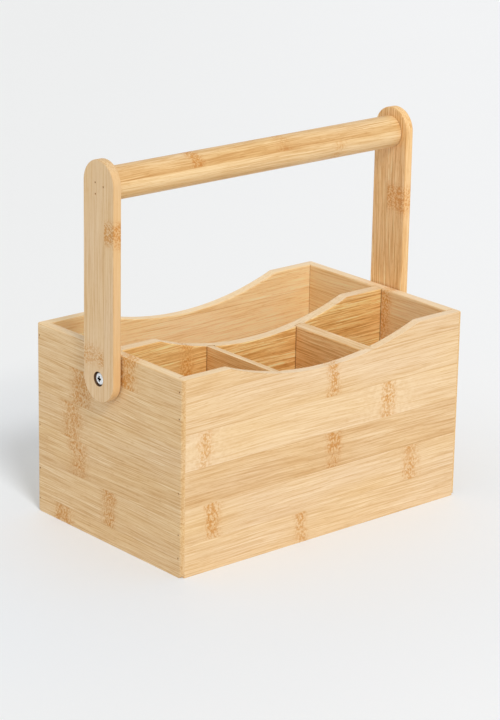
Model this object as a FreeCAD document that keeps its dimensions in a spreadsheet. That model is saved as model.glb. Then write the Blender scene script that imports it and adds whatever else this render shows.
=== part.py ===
"""Bamboo utensil caddy with a swing handle, as a parametric document.

Millimetres. The origin is the middle of the box on the table it stands on; +X runs along the
box to its right end, +Y to the back and +Z up. The four walls, the bottom and the dividers are
boards that sit in each other's grooves. The end walls are rabbeted: a thin lip covers the ends
of the front and back walls and is nailed to them. The handle turns on two sleeve nuts with
screws.

Every board is drawn in its own frame and then set in place by its Placement. The pieces at the
ends of the box are drawn for the left end: x = 0 is the outer face of the end wall and +x points
into the box. A turn of 180 degrees about Z makes the same drawing fit the right end.
"""
import FreeCAD, Part
import math
import os

import Sketcher
from FreeCAD import Placement, Rotation, Vector

DOC = FreeCAD.newDocument("UtensilCaddy")
SHEET = DOC.addObject("Spreadsheet::Sheet", "Sizes")

# ---------------------------------------------------------------- sizes

DRIVING_SIZES = [
    # box
    ("box_width", "260", "outside of the end walls"),
    ("box_depth", "164.6", "outside of the front and back walls"),
    ("box_height", "142.2", "table to rim"),
    ("wall", "8", "thickness of the four walls"),
    ("corner_lip", "2.6", "end wall's lip over the ends of the front and back walls"),
    ("corner_round", "2.4", "upright outer corners"),
    ("foot_round", "4", "lower corners of the end walls"),
    ("rim_ease", "0.8", "eased top edges"),
    ("rim_flat", "42", "level stretch of the rim at each end"),
    ("scoop_depth", "16", "dip of the scooped top edges"),
    ("scoop_ease", "2", "rounded corner where the rim turns into the scoop"),
    # bottom and dividers
    ("bottom_board", "4", "thickness of the bottom"),
    ("bottom_lift", "5", "table to underside of the bottom"),
    ("middle_board", "9", "thickness of the middle divider"),
    ("divider", "8", "thickness of the cross dividers"),
    ("divider_setback", "1", "middle divider's centre, in front of the middle of the box"),
    ("divider_drop", "0.1", "middle divider's rim below the box's rim"),
    ("cross_drop", "0.3", "cross divider's top below the scoop that it follows"),
    ("groove", "2", "depth of the grooves that hold the boards"),
    ("groove_play", "0.15", "side play of a board in its groove"),
    ("groove_relief", "0.1", "gap between a board's end and the groove's floor"),
    # brads that close the box
    ("brad_wide", "1.25", "longer side of the brads' rectangular wire"),
    ("brad_thin", "1.05", "shorter side of that wire"),
    ("brad_length", "20", "length of all brads"),
    ("brad_set", "0.4", "brad's head below the face it was driven from"),
    ("brad_play", "0.03", "play of a brad in its hole, each side"),
    ("front_brad_inset", "4", "front brads, behind the front face"),
    ("rear_brad_inset", "3", "rear brads, in front of the back face"),
    ("front_brad_1", "14", "front edge, above the table"),
    ("front_brad_2", "31", "front edge, above the table"),
    ("front_brad_3", "61", "front edge, above the table"),
    ("front_brad_4", "28", "front edge, below the rim"),
    ("front_brad_5", "9", "front edge, below the rim"),
    ("rear_brad_1", "10", "rear edge, above the table"),
    ("rear_brad_2", "33", "rear edge, above the table"),
    ("rear_brad_3", "66", "rear edge, above the table"),
    ("rear_brad_4", "90", "rear edge, above the table"),
    ("rear_brad_5", "9", "rear edge, below the rim"),
    # handle
    ("arm_width", "33.5", "width of the handle's arms"),
    ("arm_board", "6.7", "thickness of the handle's arms"),
    ("arm_ease", "0.6", "eased edges of the arms"),
    ("arm_gap", "1.2", "end wall to arm"),
    ("handle_reach", "137.7", "pivot to the centre of the arm's upper end"),
    ("pivot_drop", "18.9", "pivot below the rim"),
    ("grip_diameter", "23.4", "round grip bar"),
    ("grip_drop", "1.1", "grip bar's axis below the centre of the arm's upper end"),
    # brads that hold the grip bar, from the grip bar's axis
    ("grip_brad_1_side", "3.5", "rear upper brad, towards the back"),
    ("grip_brad_1_rise", "1.7", "rear upper brad, upwards"),
    ("grip_brad_2_side", "5.3", "front brad, towards the front"),
    ("grip_brad_2_rise", "0.1", "front brad, upwards"),
    ("grip_brad_3_side", "3.3", "rear lower brad, towards the back"),
    ("grip_brad_3_fall", "6.2", "rear lower brad, downwards"),
    # pivot hardware
    ("sleeve_diameter", "6", "barrel that the arm turns on"),
    ("sleeve_head", "12", "diameter of the sleeve nut's flat head"),
    ("sleeve_head_thick", "1.5", "thickness of the sleeve nut's head"),
    ("sleeve_slot", "1.2", "width of the driver slot in the sleeve nut's head"),
    ("sleeve_slot_depth", "0.7", "depth of the driver slot"),
    ("turning_play", "0.05", "radial play of the arm on the sleeve"),
    ("side_play", "0.1", "end play of the arm between washer and screw head"),
    ("seat_play", "0.05", "radial play of pieces that don't turn in their holes"),
    ("washer_diameter", "14", "spacer between end wall and arm"),
    ("counterbore", "11", "diameter of the arm's recess for the screw head"),
    ("counterbore_depth", "3.2", "depth of that recess"),
    ("screw_diameter", "4", "shank of the pivot screw"),
    ("screw_length", "7", "length of the pivot screw's shank"),
    ("screw_head", "9.8", "diameter of the screw's pan head"),
    ("screw_head_thick", "2.5", "height of the screw's pan head"),
    ("screw_head_edge", "1.4", "height of the head's upright edge"),
    ("screw_crown", "7.2", "diameter of the head's flat crown"),
    ("cross_recess", "5.6", "span of the cross recess in the screw's head"),
    ("cross_blade", "1.1", "width of each arm of the cross recess"),
    ("cross_recess_depth", "1.7", "depth of the cross recess"),
]

DERIVED_SIZES = [
    ("half_width", "=box_width / 2", "outer face of an end wall"),
    ("half_depth", "=box_depth / 2", "outer face of the front or back wall"),
    ("half_inside", "=half_depth - wall", "inner face of the front or back wall"),
    ("foot_start", "=half_depth - foot_round", "end of an end wall's straight lower edge"),
    ("corner_start", "=half_depth - corner_round", "end of an end wall's flat outer face"),
    ("inside_width", "=box_width - 2 * wall", "end wall to end wall"),
    ("half_span", "=inside_width / 2", "inner face of an end wall"),
    ("wall_reach", "=half_width - corner_lip", "end of the front or back wall"),
    ("rabbet_depth", "=wall - corner_lip", "rabbet in an end wall, from its inner face"),
    ("scoop_half", "=half_width - rim_flat", "half the width of the scoop"),
    ("scoop_radius", "=(scoop_half ^ 2 + scoop_depth ^ 2) / (2 * scoop_depth)", "scoop's arc"),
    ("scoop_centre", "=box_height - scoop_depth + scoop_radius", "arc's centre above the table"),
    ("floor_top", "=bottom_lift + bottom_board", "upper face of the bottom"),
    ("bottom_length", "=inside_width + 2 * (groove - groove_relief)", "bottom, end to end"),
    ("bottom_reach", "=half_inside + groove - groove_relief", "bottom, middle to front edge"),
    ("bottom_half", "=bottom_length / 2", "half the bottom's length"),
    ("bottom_groove_top", "=floor_top + groove_play", "upper side of the bottom's groove"),
    ("bottom_groove_end", "=half_span + groove", "end of its groove in a front or back wall"),
    ("divider_half", "=half_span + groove - groove_relief", "half the middle divider's length"),
    ("divider_height", "=box_height - floor_top - divider_drop", "middle divider's height"),
    ("divider_centre", "=scoop_centre - floor_top - divider_drop", "its arc above its lower edge"),
    ("divider_front", "=divider_setback + middle_board / 2", "middle divider's front face, to the front"),
    ("groove_front", "=divider_front + groove_play", "front side of its groove"),
    ("groove_rear", "=middle_board / 2 - divider_setback + groove_play", "rear side of its groove"),
    ("cell", "=(inside_width - 2 * divider) / 3", "width of each front compartment"),
    ("cross_x", "=(cell + divider) / 2", "middle of a cross divider"),
    ("cross_groove_near", "=cross_x - divider / 2 - groove_play", "inner side of its grooves"),
    ("cross_groove_far", "=cross_x + divider / 2 + groove_play", "outer side of its grooves"),
    ("cross_half", "=divider / 2", "half a cross divider's thickness"),
    ("cross_near", "=cross_x - cross_half", "face towards the middle of the box"),
    ("cross_far", "=cross_x + cross_half", "face towards the end of the box"),
    ("cross_centre", "=scoop_centre - cross_drop - floor_top", "arc of its top, above its lower edge"),
    ("cross_low", "=cross_centre - sqrt(scoop_radius ^ 2 - cross_near ^ 2)", "lower side of its top"),
    ("cross_high", "=cross_centre - sqrt(scoop_radius ^ 2 - cross_far ^ 2)", "upper side of its top"),
    ("cross_front", "=half_inside + groove - groove_relief", "its front end, to the front"),
    ("cross_rear", "=divider_front - groove + groove_relief", "its rear end, to the front"),
    ("cross_length", "=cross_front - cross_rear", "cross divider's length"),
    ("brad_hole_wide", "=brad_wide + 2 * brad_play", "longer side of a brad's hole"),
    ("brad_hole_thin", "=brad_thin + 2 * brad_play", "shorter side of a brad's hole"),
    ("front_brad_place", "=half_depth - front_brad_inset", "front brads, to the front"),
    ("rear_brad_place", "=half_depth - rear_brad_inset", "rear brads, to the back"),
    ("wall_brad_depth", "=brad_set + brad_length - corner_lip + groove_relief", "hole in a wall's end"),
    ("grip_brad_depth", "=brad_set + brad_length - arm_board + groove_relief", "hole in the grip"),
    ("front_brad_4_up", "=box_height - front_brad_4", "above the table"),
    ("front_brad_5_up", "=box_height - front_brad_5", "above the table"),
    ("rear_brad_5_up", "=box_height - rear_brad_5", "above the table"),
    ("pivot_height", "=box_height - pivot_drop", "pivot above the table"),
    ("arm_radius", "=arm_width / 2", "round ends of the arms"),
    ("arm_outside", "=arm_gap + arm_board", "outer face of an arm, from the end wall"),
    ("grip_rise", "=handle_reach - grip_drop", "grip bar's axis above the pivot"),
    ("grip_height", "=pivot_height + grip_rise", "grip bar's axis above the table"),
    ("grip_radius", "=grip_diameter / 2", "grip bar"),
    ("grip_length", "=box_width + 2 * arm_gap", "arm to arm"),
    ("grip_half", "=grip_length / 2", "half the grip bar's length"),
    ("grip_brad_1_up", "=grip_rise + grip_brad_1_rise", "above the pivot"),
    ("grip_brad_2_up", "=grip_rise + grip_brad_2_rise", "above the pivot"),
    ("grip_brad_3_up", "=grip_rise - grip_brad_3_fall", "above the pivot"),
    ("sleeve_radius", "=sleeve_diameter / 2", "barrel of the sleeve nut"),
    ("sleeve_head_radius", "=sleeve_head / 2", "head of the sleeve nut"),
    ("sleeve_hole", "=sleeve_radius + seat_play", "hole for the barrel in the end wall"),
    ("sleeve_pocket", "=sleeve_head_radius + seat_play", "recess for its head"),
    ("sleeve_seat", "=wall - groove - sleeve_head_thick", "head's seat, from the outer face"),
    ("sleeve_pocket_depth", "=wall - sleeve_seat", "depth of that recess"),
    ("sleeve_crown", "=sleeve_seat + sleeve_head_thick", "head's inner face"),
    ("sleeve_tip", "=arm_outside - counterbore_depth + side_play", "barrel's end, outwards"),
    ("arm_bore", "=sleeve_radius + turning_play", "hole for the barrel in the arm"),
    ("counterbore_radius", "=counterbore / 2", "recess for the screw head in the arm"),
    ("washer_radius", "=washer_diameter / 2", "spacer washer"),
    ("washer_thick", "=arm_gap - side_play", "spacer washer"),
    ("screw_radius", "=screw_diameter / 2", "pivot screw's shank"),
    ("screw_bore", "=screw_radius + seat_play", "bore of the sleeve nut"),
    ("screw_bore_end", "=sleeve_tip - screw_length - groove_relief", "bore's floor, outwards"),
    ("screw_tip", "=sleeve_tip - screw_length", "end of the screw's shank, outwards"),
    ("screw_head_radius", "=screw_head / 2", "pan head"),
    ("screw_crown_radius", "=screw_crown / 2", "flat crown of the head"),
    ("screw_edge_out", "=sleeve_tip + screw_head_edge", "top of the head's upright edge"),
    ("screw_crown_out", "=sleeve_tip + screw_head_thick", "crown of the head"),
    ("blade_half", "=cross_blade / 2", "half the width of the cross recess's arms"),
    ("cross_reach", "=cross_recess / 2", "centre to the tip of the cross recess"),
    ("slot_half", "=sleeve_slot / 2", "half the width of the driver slot"),
]


def fill_sheet(rows, first_row):
    """Write names, values and notes into the sheet, one row each."""
    for row, (alias, content, note) in enumerate(rows, start=first_row):
        SHEET.set(f"A{row}", alias)
        SHEET.set(f"B{row}", content)
        SHEET.set(f"C{row}", note)
        SHEET.setAlias(f"B{row}", alias)


fill_sheet(DRIVING_SIZES, 1)
fill_sheet(DERIVED_SIZES, len(DRIVING_SIZES) + 2)
DOC.recompute()


def size(alias):
    """A size's present value."""
    return float(getattr(SHEET, alias))


# ---------------------------------------------------------------- drawing helpers

TOUCH = 1e-4  # sizes and volumes closer than this are the same


def value(signed_alias):
    """Number behind a ("+" or "-", alias) pair; None stands for zero."""
    if signed_alias is None:
        return 0.0
    sign, alias = signed_alias
    return size(alias) if sign == "+" else -size(alias)


def pin(sketch, geometry, point, across, up):
    """Hold a sketch point at signed sheet sizes; None puts it on that axis."""
    for kind, axis, place in (("DistanceX", -2, across), ("DistanceY", -1, up)):
        if place is None:
            sketch.addConstraint(Sketcher.Constraint("PointOnObject", geometry, point, axis))
            continue
        sign, alias = place
        ends = (-1, 1, geometry, point) if sign == "+" else (geometry, point, -1, 1)
        index = sketch.addConstraint(Sketcher.Constraint(kind, *ends, size(alias)))
        sketch.setExpression(f"Constraints[{index}]", f"Sizes.{alias}")


def add_arc(sketch, start, finish, centre_up, anticlockwise):
    """An arc between two points whose centre lies at a given height."""
    height = value(centre_up)
    chord = finish - start
    middle = (start + finish) * 0.5
    across = middle.x - (height - middle.y) * chord.y / chord.x
    centre = Vector(across, height, 0)
    first, last = (start, finish) if anticlockwise else (finish, start)
    angles = [math.atan2(p.y - centre.y, p.x - centre.x) for p in (first, last)]
    if angles[1] < angles[0]:
        angles[1] += 2 * math.pi
    circle = Part.Circle(centre, Vector(0, 0, 1), (start - centre).Length)
    geometry = sketch.addGeometry(Part.ArcOfCircle(circle, *angles))
    if centre_up is None:
        sketch.addConstraint(Sketcher.Constraint("PointOnObject", geometry, 3, -1))
    else:
        sign, alias = centre_up
        ends = (-1, 1, geometry, 3) if sign == "+" else (geometry, 3, -1, 1)
        index = sketch.addConstraint(Sketcher.Constraint("DistanceY", *ends, size(alias)))
        sketch.setExpression(f"Constraints[{index}]", f"Sizes.{alias}")
    return (geometry, 1, 2) if anticlockwise else (geometry, 2, 1)


def outline(sketch, corners, arcs=None):
    """A closed outline through pinned corners; arcs maps an edge to (centre height, turn)."""
    arcs = arcs or {}
    places = [Vector(value(across), value(up), 0) for across, up in corners]
    edges = []
    for index, start in enumerate(places):
        finish = places[(index + 1) % len(places)]
        if index in arcs:
            centre_up, anticlockwise = arcs[index]
            edges.append(add_arc(sketch, start, finish, centre_up, anticlockwise))
        else:
            edges.append((sketch.addGeometry(Part.LineSegment(start, finish)), 1, 2))
    for index, (geometry, first, last) in enumerate(edges):
        following, its_first, _ = edges[(index + 1) % len(edges)]
        sketch.addConstraint(Sketcher.Constraint("Coincident", geometry, last, following, its_first))
        pin(sketch, geometry, first, *corners[index])


def box_outline(sketch, left, right, low, high):
    """A rectangle between four signed sizes."""
    outline(sketch, [(left, low), (right, low), (right, high), (left, high)])


def hole(sketch, across, up, radius):
    """A circle at a pinned centre."""
    centre = Vector(value(across), value(up), 0)
    geometry = sketch.addGeometry(Part.Circle(centre, Vector(0, 0, 1), size(radius)))
    pin(sketch, geometry, 3, across, up)
    index = sketch.addConstraint(Sketcher.Constraint("Radius", geometry, size(radius)))
    sketch.setExpression(f"Constraints[{index}]", f"Sizes.{radius}")


def brad_hole(sketch, across, up):
    """An upright rectangle round a pinned centre, for a brad's wire."""
    centre = Vector(value(across), value(up), 0)
    half_thin = size("brad_hole_thin") / 2
    half_wide = size("brad_hole_wide") / 2
    signs = [(-1, -1), (1, -1), (1, 1), (-1, 1)]
    corners = [centre + Vector(x * half_thin, y * half_wide, 0) for x, y in signs]
    sides = [
        sketch.addGeometry(Part.LineSegment(corners[index], corners[(index + 1) % 4]))
        for index in range(4)
    ]
    for index, side in enumerate(sides):
        following = sides[(index + 1) % 4]
        direction = "Vertical" if index % 2 else "Horizontal"
        sketch.addConstraint(Sketcher.Constraint("Coincident", side, 2, following, 1))
        sketch.addConstraint(Sketcher.Constraint(direction, side))
    middle = sketch.addGeometry(Part.Point(centre), True)
    sketch.addConstraint(Sketcher.Constraint("Symmetric", sides[0], 1, sides[2], 1, middle, 1))
    pin(sketch, middle, 1, across, up)
    for kind, side, extent in (("DistanceX", sides[0], "brad_hole_thin"),
                               ("DistanceY", sides[1], "brad_hole_wide")):
        index = sketch.addConstraint(Sketcher.Constraint(kind, side, 1, side, 2, size(extent)))
        sketch.setExpression(f"Constraints[{index}]", f"Sizes.{extent}")


NODES = {}


def new_body(label):
    """A sub-part made by sketches and features; its label names its file."""
    body = DOC.addObject("PartDesign::Body", label)
    body.Label = label
    NODES[label] = body
    return body


def origin_feature(body, role):
    """One of the body's own origin planes or axes."""
    return next(item for item in body.Origin.OriginFeatures if item.Role == role)


def new_sketch(body, name, plane, offset=None):
    """A sketch on an origin plane of the body, moved along its normal by a signed size."""
    sketch = body.newObject("Sketcher::SketchObject", name)
    sketch.AttachmentSupport = [(origin_feature(body, plane), "")]
    sketch.MapMode = "FlatFace"
    if offset is not None:
        sign, alias = offset
        sketch.AttachmentOffset = Placement(Vector(0, 0, value(offset)), Rotation())
        sketch.setExpression("AttachmentOffset.Base.z", f"{sign}Sizes.{alias}")
    return sketch


def pad(body, name, sketch, length, towards="normal"):
    """Raise a sketch by a sheet size, along its normal, against it, or both ways."""
    feature = body.newObject("PartDesign::Pad", name)
    feature.Profile = sketch
    feature.setExpression("Length", f"Sizes.{length}")
    if towards == "both":
        feature.SideType = "Symmetric"
    feature.Reversed = towards == "back"
    sketch.Visibility = False
    return feature


def cut(body, name, sketch, depth=None, towards="back"):
    """Pocket a sketch to a sheet size, or through everything, and prove that it cut."""
    DOC.recompute()
    before = body.Shape.Volume
    feature = body.newObject("PartDesign::Pocket", name)
    feature.Profile = sketch
    if depth is None:
        feature.Type = "ThroughAll"
    else:
        feature.setExpression("Length", f"Sizes.{depth}")
    feature.Reversed = towards == "normal"
    sketch.Visibility = False
    DOC.recompute()
    if body.Shape.Volume > before - TOUCH:
        raise RuntimeError(f"{body.Label}: {name} cuts nothing")
    return feature


def mirror(body, name, features, plane):
    """Repeat features on the other side of an origin plane."""
    feature = body.newObject("PartDesign::Mirrored", name)
    feature.Originals = features
    feature.MirrorPlane = (origin_feature(body, plane), [""])
    body.Tip = feature
    DOC.recompute()
    return feature


def dress(body, kind, name, extent, wanted):
    """Give the edges for which wanted(edge) holds a PartDesign dress-up of a sheet size."""
    DOC.recompute()
    tip = body.Tip
    edges = [f"Edge{number}" for number, edge in enumerate(tip.Shape.Edges, start=1) if wanted(edge)]
    if not edges:
        raise RuntimeError(f"{body.Label}: {name} finds no edge")
    feature = body.newObject(f"PartDesign::{kind}", name)
    feature.Base = (tip, edges)
    feature.setExpression("Radius" if kind == "Fillet" else "Size", f"Sizes.{extent}")
    DOC.recompute()
    return feature


def soften(body, name, radius, wanted):
    """Round edges over."""
    return dress(body, "Fillet", name, radius, wanted)


def ease(body, name, leg, wanted):
    """Take edges off with a narrow flat, as one pass of a sanding block leaves them."""
    return dress(body, "Chamfer", name, leg, wanted)


def spans(edge):
    """Lowest and highest corner of an edge."""
    frame = edge.BoundBox
    low = Vector(frame.XMin, frame.YMin, frame.ZMin)
    high = Vector(frame.XMax, frame.YMax, frame.ZMax)
    return low, high


def near(first, second):
    """Whether two sizes are the same, but for rounding."""
    return abs(first - second) < TOUCH


def place(item, across=None, deep=None, up=None, turned=False):
    """Set a sub-part in the caddy by signed sheet sizes, turned half round if asked."""
    turn = Rotation(Vector(0, 0, 1), 180) if turned else Rotation()
    item.Placement = Placement(Vector(value(across), value(deep), value(up)), turn)
    for axis, signed_alias in (("x", across), ("y", deep), ("z", up)):
        if signed_alias is not None:
            sign, alias = signed_alias
            item.setExpression(f"Placement.Base.{axis}", f"{sign}Sizes.{alias}")


# Both ends of the box: name, the sign of its x, whether its drawings are turned, and the sign
# of "towards the front" in those drawings.
ENDS = [("left", "-", False, "-"), ("right", "+", True, "+")]
OTHER = {"+": "-", "-": "+"}


# ---------------------------------------------------------------- boards with a scoop

def scooped_board(body, half_length, height, arc_centre, thickness):
    """A board on edge whose top dips in one shallow arc between two level stretches."""
    sketch = new_sketch(body, f"{body.Label}_outline", "XZ_Plane")
    corners = [
        (("-", half_length), None),
        (("+", half_length), None),
        (("+", half_length), ("+", height)),
        (("+", "scoop_half"), ("+", height)),
        (("-", "scoop_half"), ("+", height)),
        (("-", half_length), ("+", height)),
    ]
    dip = 3
    outline(sketch, corners, {dip: (("+", arc_centre), False)})
    pad(body, f"{body.Label}_board", sketch, thickness, "back")
    top = size(height)

    def scoop_corner(edge):
        low, high = spans(edge)
        level = near(low.z, top) and near(high.z, top)
        return level and near(abs(low.x), size("scoop_half")) and high.y - low.y > size(thickness) / 2

    soften(body, f"{body.Label}_soft_corners", "scoop_ease", scoop_corner)
    lowest = top - size("scoop_depth")

    def rim(edge):
        low, high = spans(edge)
        along = near(low.y, high.y) and high.x - low.x > TOUCH
        return along and low.z > lowest - TOUCH

    ease(body, f"{body.Label}_eased_rim", "rim_ease", rim)


def bottom_groove(body):
    """The groove along a front or back wall that holds the bottom."""
    sketch = new_sketch(body, f"{body.Label}_bottom_groove_outline", "XZ_Plane", ("-", "wall"))
    box_outline(sketch, ("-", "bottom_groove_end"), ("+", "bottom_groove_end"),
                ("+", "bottom_lift"), ("+", "bottom_groove_top"))
    cut(body, f"{body.Label}_bottom_groove", sketch, "groove", "normal")


def end_holes(body, brads, inset):
    """Holes for the brads in both ends of a front or back wall."""
    sketch = new_sketch(body, f"{body.Label}_brad_wires", "YZ_Plane", ("+", "wall_reach"))
    for height in brads:
        brad_hole(sketch, ("+", inset), ("+", height))
    right = cut(body, f"{body.Label}_brad_holes", sketch, "wall_brad_depth", "back")
    mirror(body, f"{body.Label}_brad_holes_left", [right], "YZ_Plane")


FRONT_BRADS = ["front_brad_1", "front_brad_2", "front_brad_3", "front_brad_4_up", "front_brad_5_up"]
REAR_BRADS = ["rear_brad_1", "rear_brad_2", "rear_brad_3", "rear_brad_4", "rear_brad_5_up"]


def front_panel():
    body = new_body("front_panel")
    scooped_board(body, "wall_reach", "box_height", "scoop_centre", "wall")
    bottom_groove(body)
    sketch = new_sketch(body, "front_cross_groove_outline", "XZ_Plane", ("-", "wall"))
    box_outline(sketch, ("+", "cross_groove_near"), ("+", "cross_groove_far"),
                ("+", "floor_top"), ("+", "box_height"))
    right = cut(body, "front_cross_groove", sketch, "groove", "normal")
    mirror(body, "front_cross_groove_left", [right], "YZ_Plane")
    end_holes(body, FRONT_BRADS, "front_brad_inset")
    place(body, deep=("-", "half_depth"))


def back_panel():
    body = new_body("back_panel")
    scooped_board(body, "wall_reach", "box_height", "scoop_centre", "wall")
    bottom_groove(body)
    end_holes(body, REAR_BRADS, "rear_brad_inset")
    place(body, deep=("+", "half_depth"), turned=True)


def middle_divider():
    body = new_body("middle_divider")
    scooped_board(body, "divider_half", "divider_height", "divider_centre", "middle_board")
    sketch = new_sketch(body, "middle_cross_groove_outline", "XZ_Plane")
    box_outline(sketch, ("+", "cross_groove_near"), ("+", "cross_groove_far"),
                None, ("+", "divider_height"))
    right = cut(body, "middle_cross_groove", sketch, "groove", "back")
    mirror(body, "middle_cross_groove_left", [right], "YZ_Plane")
    place(body, deep=("-", "divider_front"), up=("+", "floor_top"))


def cross_divider(name, sign):
    """A short board between front wall and middle divider; its top follows their scoops."""
    body = new_body(f"{name}_cross_divider")
    sketch = new_sketch(body, f"{body.Label}_outline", "XZ_Plane")
    inner = OTHER[sign]
    tops = {sign: "cross_high", inner: "cross_low"}
    corners = [
        (("-", "cross_half"), None),
        (("+", "cross_half"), None),
        (("+", "cross_half"), ("+", tops["+"])),
        (("-", "cross_half"), ("+", tops["-"])),
    ]
    top = 2
    outline(sketch, corners, {top: (("+", "cross_centre"), False)})
    pad(body, f"{body.Label}_board", sketch, "cross_length", "back")
    lowest = size("cross_low")

    def rim(edge):
        low, high = spans(edge)
        return low.z > lowest - TOUCH and high.y - low.y > size("divider")

    ease(body, f"{body.Label}_eased_rim", "rim_ease", rim)
    place(body, across=(sign, "cross_x"), deep=("-", "cross_front"), up=("+", "floor_top"))


def bottom_panel():
    body = new_body("bottom_panel")
    sketch = new_sketch(body, "bottom_outline", "XY_Plane")
    box_outline(sketch, ("-", "bottom_half"), ("+", "bottom_half"),
                ("-", "bottom_reach"), ("+", "bottom_reach"))
    pad(body, "bottom_pad", sketch, "bottom_board")
    place(body, up=("+", "bottom_lift"))


# ---------------------------------------------------------------- end walls

def end_panel(name, sign, turned, front):
    """An end wall with its grooves, the recessed seat of the sleeve nut and the brad holes."""
    rear = OTHER[front]
    body = new_body(f"{name}_end_panel")
    label = body.Label
    sketch = new_sketch(body, f"{label}_outline", "YZ_Plane")
    corners = [
        (("-", "foot_start"), None),
        (("+", "foot_start"), None),
        (("+", "half_depth"), ("+", "foot_round")),
        (("+", "half_depth"), ("+", "box_height")),
        (("-", "half_depth"), ("+", "box_height")),
        (("-", "half_depth"), ("+", "foot_round")),
    ]
    front_foot, rear_foot = 1, 5
    foot = (("+", "foot_round"), True)
    outline(sketch, corners, {front_foot: foot, rear_foot: foot})
    pad(body, f"{label}_board", sketch, "wall")

    corner = new_sketch(body, f"{label}_corner_outline", "XY_Plane")
    waste = [(None, ("+", "corner_start")), (("+", "corner_round"), ("+", "half_depth")),
             (None, ("+", "half_depth"))]
    outline(corner, waste, {0: (("+", "corner_start"), False)})
    rounded = cut(body, f"{label}_corner", corner, None, "normal")
    mirror(body, f"{label}_other_corner", [rounded], "XZ_Plane")

    def rim(edge):
        low, high = spans(edge)
        return near(low.z, size("box_height")) and near(high.z, size("box_height"))

    ease(body, f"{label}_eased_rim", "rim_ease", rim)

    sketch = new_sketch(body, f"{label}_rabbet_outline", "YZ_Plane", ("+", "wall"))
    box_outline(sketch, ("+", "half_inside"), ("+", "half_depth"), None, ("+", "box_height"))
    rabbet = cut(body, f"{label}_rabbet", sketch, "rabbet_depth", "back")
    mirror(body, f"{label}_other_rabbet", [rabbet], "XZ_Plane")
    sketch = new_sketch(body, f"{label}_bottom_groove_outline", "YZ_Plane", ("+", "wall"))
    box_outline(sketch, ("-", "half_inside"), ("+", "half_inside"),
                ("+", "bottom_lift"), ("+", "bottom_groove_top"))
    cut(body, f"{label}_bottom_groove", sketch, "groove", "back")

    sketch = new_sketch(body, f"{label}_divider_groove_outline", "YZ_Plane", ("+", "wall"))
    box_outline(sketch, (front, "groove_front"), (rear, "groove_rear"),
                ("+", "floor_top"), ("+", "box_height"))
    cut(body, f"{label}_divider_groove", sketch, "groove", "back")

    sketch = new_sketch(body, f"{label}_sleeve_circle", "YZ_Plane")
    hole(sketch, None, ("+", "pivot_height"), "sleeve_hole")
    cut(body, f"{label}_sleeve_hole", sketch, None, "normal")
    sketch = new_sketch(body, f"{label}_sleeve_head_circle", "YZ_Plane", ("+", "wall"))
    hole(sketch, None, ("+", "pivot_height"), "sleeve_pocket")
    cut(body, f"{label}_sleeve_recess", sketch, "sleeve_pocket_depth", "back")

    sketch = new_sketch(body, f"{label}_brad_wires", "YZ_Plane")
    for side, heights, deep in ((front, FRONT_BRADS, "front_brad_place"),
                                (rear, REAR_BRADS, "rear_brad_place")):
        for height in heights:
            brad_hole(sketch, (side, deep), ("+", height))
    cut(body, f"{label}_brad_holes", sketch, None, "normal")
    place(body, across=(sign, "half_width"), turned=turned)


# ---------------------------------------------------------------- handle

def handle_arm(name, sign, turned, front):
    """A flat arm with round ends, bored for the sleeve and recessed for the screw's head."""
    rear = OTHER[front]
    body = new_body(f"{name}_handle_arm")
    label = body.Label
    sketch = new_sketch(body, f"{label}_outline", "YZ_Plane", ("-", "arm_outside"))
    corners = [
        (("-", "arm_radius"), None),
        (("+", "arm_radius"), None),
        (("+", "arm_radius"), ("+", "handle_reach")),
        (("-", "arm_radius"), ("+", "handle_reach")),
    ]
    outline(sketch, corners, {0: (None, True), 2: (("+", "handle_reach"), True)})
    pad(body, f"{label}_board", sketch, "arm_board")

    def face_edge(edge):
        low, high = spans(edge)
        return near(low.x, high.x)

    ease(body, f"{label}_eased_edges", "arm_ease", face_edge)

    sketch = new_sketch(body, f"{label}_bore_circle", "YZ_Plane")
    hole(sketch, None, None, "arm_bore")
    cut(body, f"{label}_bore", sketch, None, "back")
    sketch = new_sketch(body, f"{label}_recess_circle", "YZ_Plane", ("-", "arm_outside"))
    hole(sketch, None, None, "counterbore_radius")
    cut(body, f"{label}_screw_recess", sketch, "counterbore_depth", "normal")

    sketch = new_sketch(body, f"{label}_brad_wires", "YZ_Plane")
    for across, up in grip_brads(front, rear):
        brad_hole(sketch, across, up)
    cut(body, f"{label}_brad_holes", sketch, None, "back")
    place(body, across=(sign, "half_width"), up=("+", "pivot_height"), turned=turned)


def grip_brads(front, rear):
    """Places of the three brads in each end of the grip bar, from the pivot."""
    return [
        ((rear, "grip_brad_1_side"), ("+", "grip_brad_1_up")),
        ((front, "grip_brad_2_side"), ("+", "grip_brad_2_up")),
        ((rear, "grip_brad_3_side"), ("+", "grip_brad_3_up")),
    ]


def handle_grip():
    """The round bar, with brad holes in both ends, drawn from the pivot's height."""
    body = new_body("handle_grip")
    sketch = new_sketch(body, "grip_circle", "YZ_Plane")
    hole(sketch, None, ("+", "grip_rise"), "grip_radius")
    pad(body, "grip_bar", sketch, "grip_length", "both")
    sketch = new_sketch(body, "grip_brad_wires", "YZ_Plane", ("+", "grip_half"))
    for across, up in grip_brads("-", "+"):
        brad_hole(sketch, across, up)
    right = cut(body, "grip_brad_holes", sketch, "grip_brad_depth", "back")
    mirror(body, "grip_brad_holes_left", [right], "YZ_Plane")
    place(body, up=("+", "pivot_height"))


# ---------------------------------------------------------------- pivot hardware

def turned_part(body, corners):
    """A part turned about the x axis from half its section."""
    sketch = new_sketch(body, f"{body.Label}_section", "XZ_Plane")
    outline(sketch, corners)
    feature = body.newObject("PartDesign::Revolution", f"{body.Label}_turning")
    feature.Profile = sketch
    feature.ReferenceAxis = (sketch, ["H_Axis"])
    feature.Angle = 360
    sketch.Visibility = False
    DOC.recompute()


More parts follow.
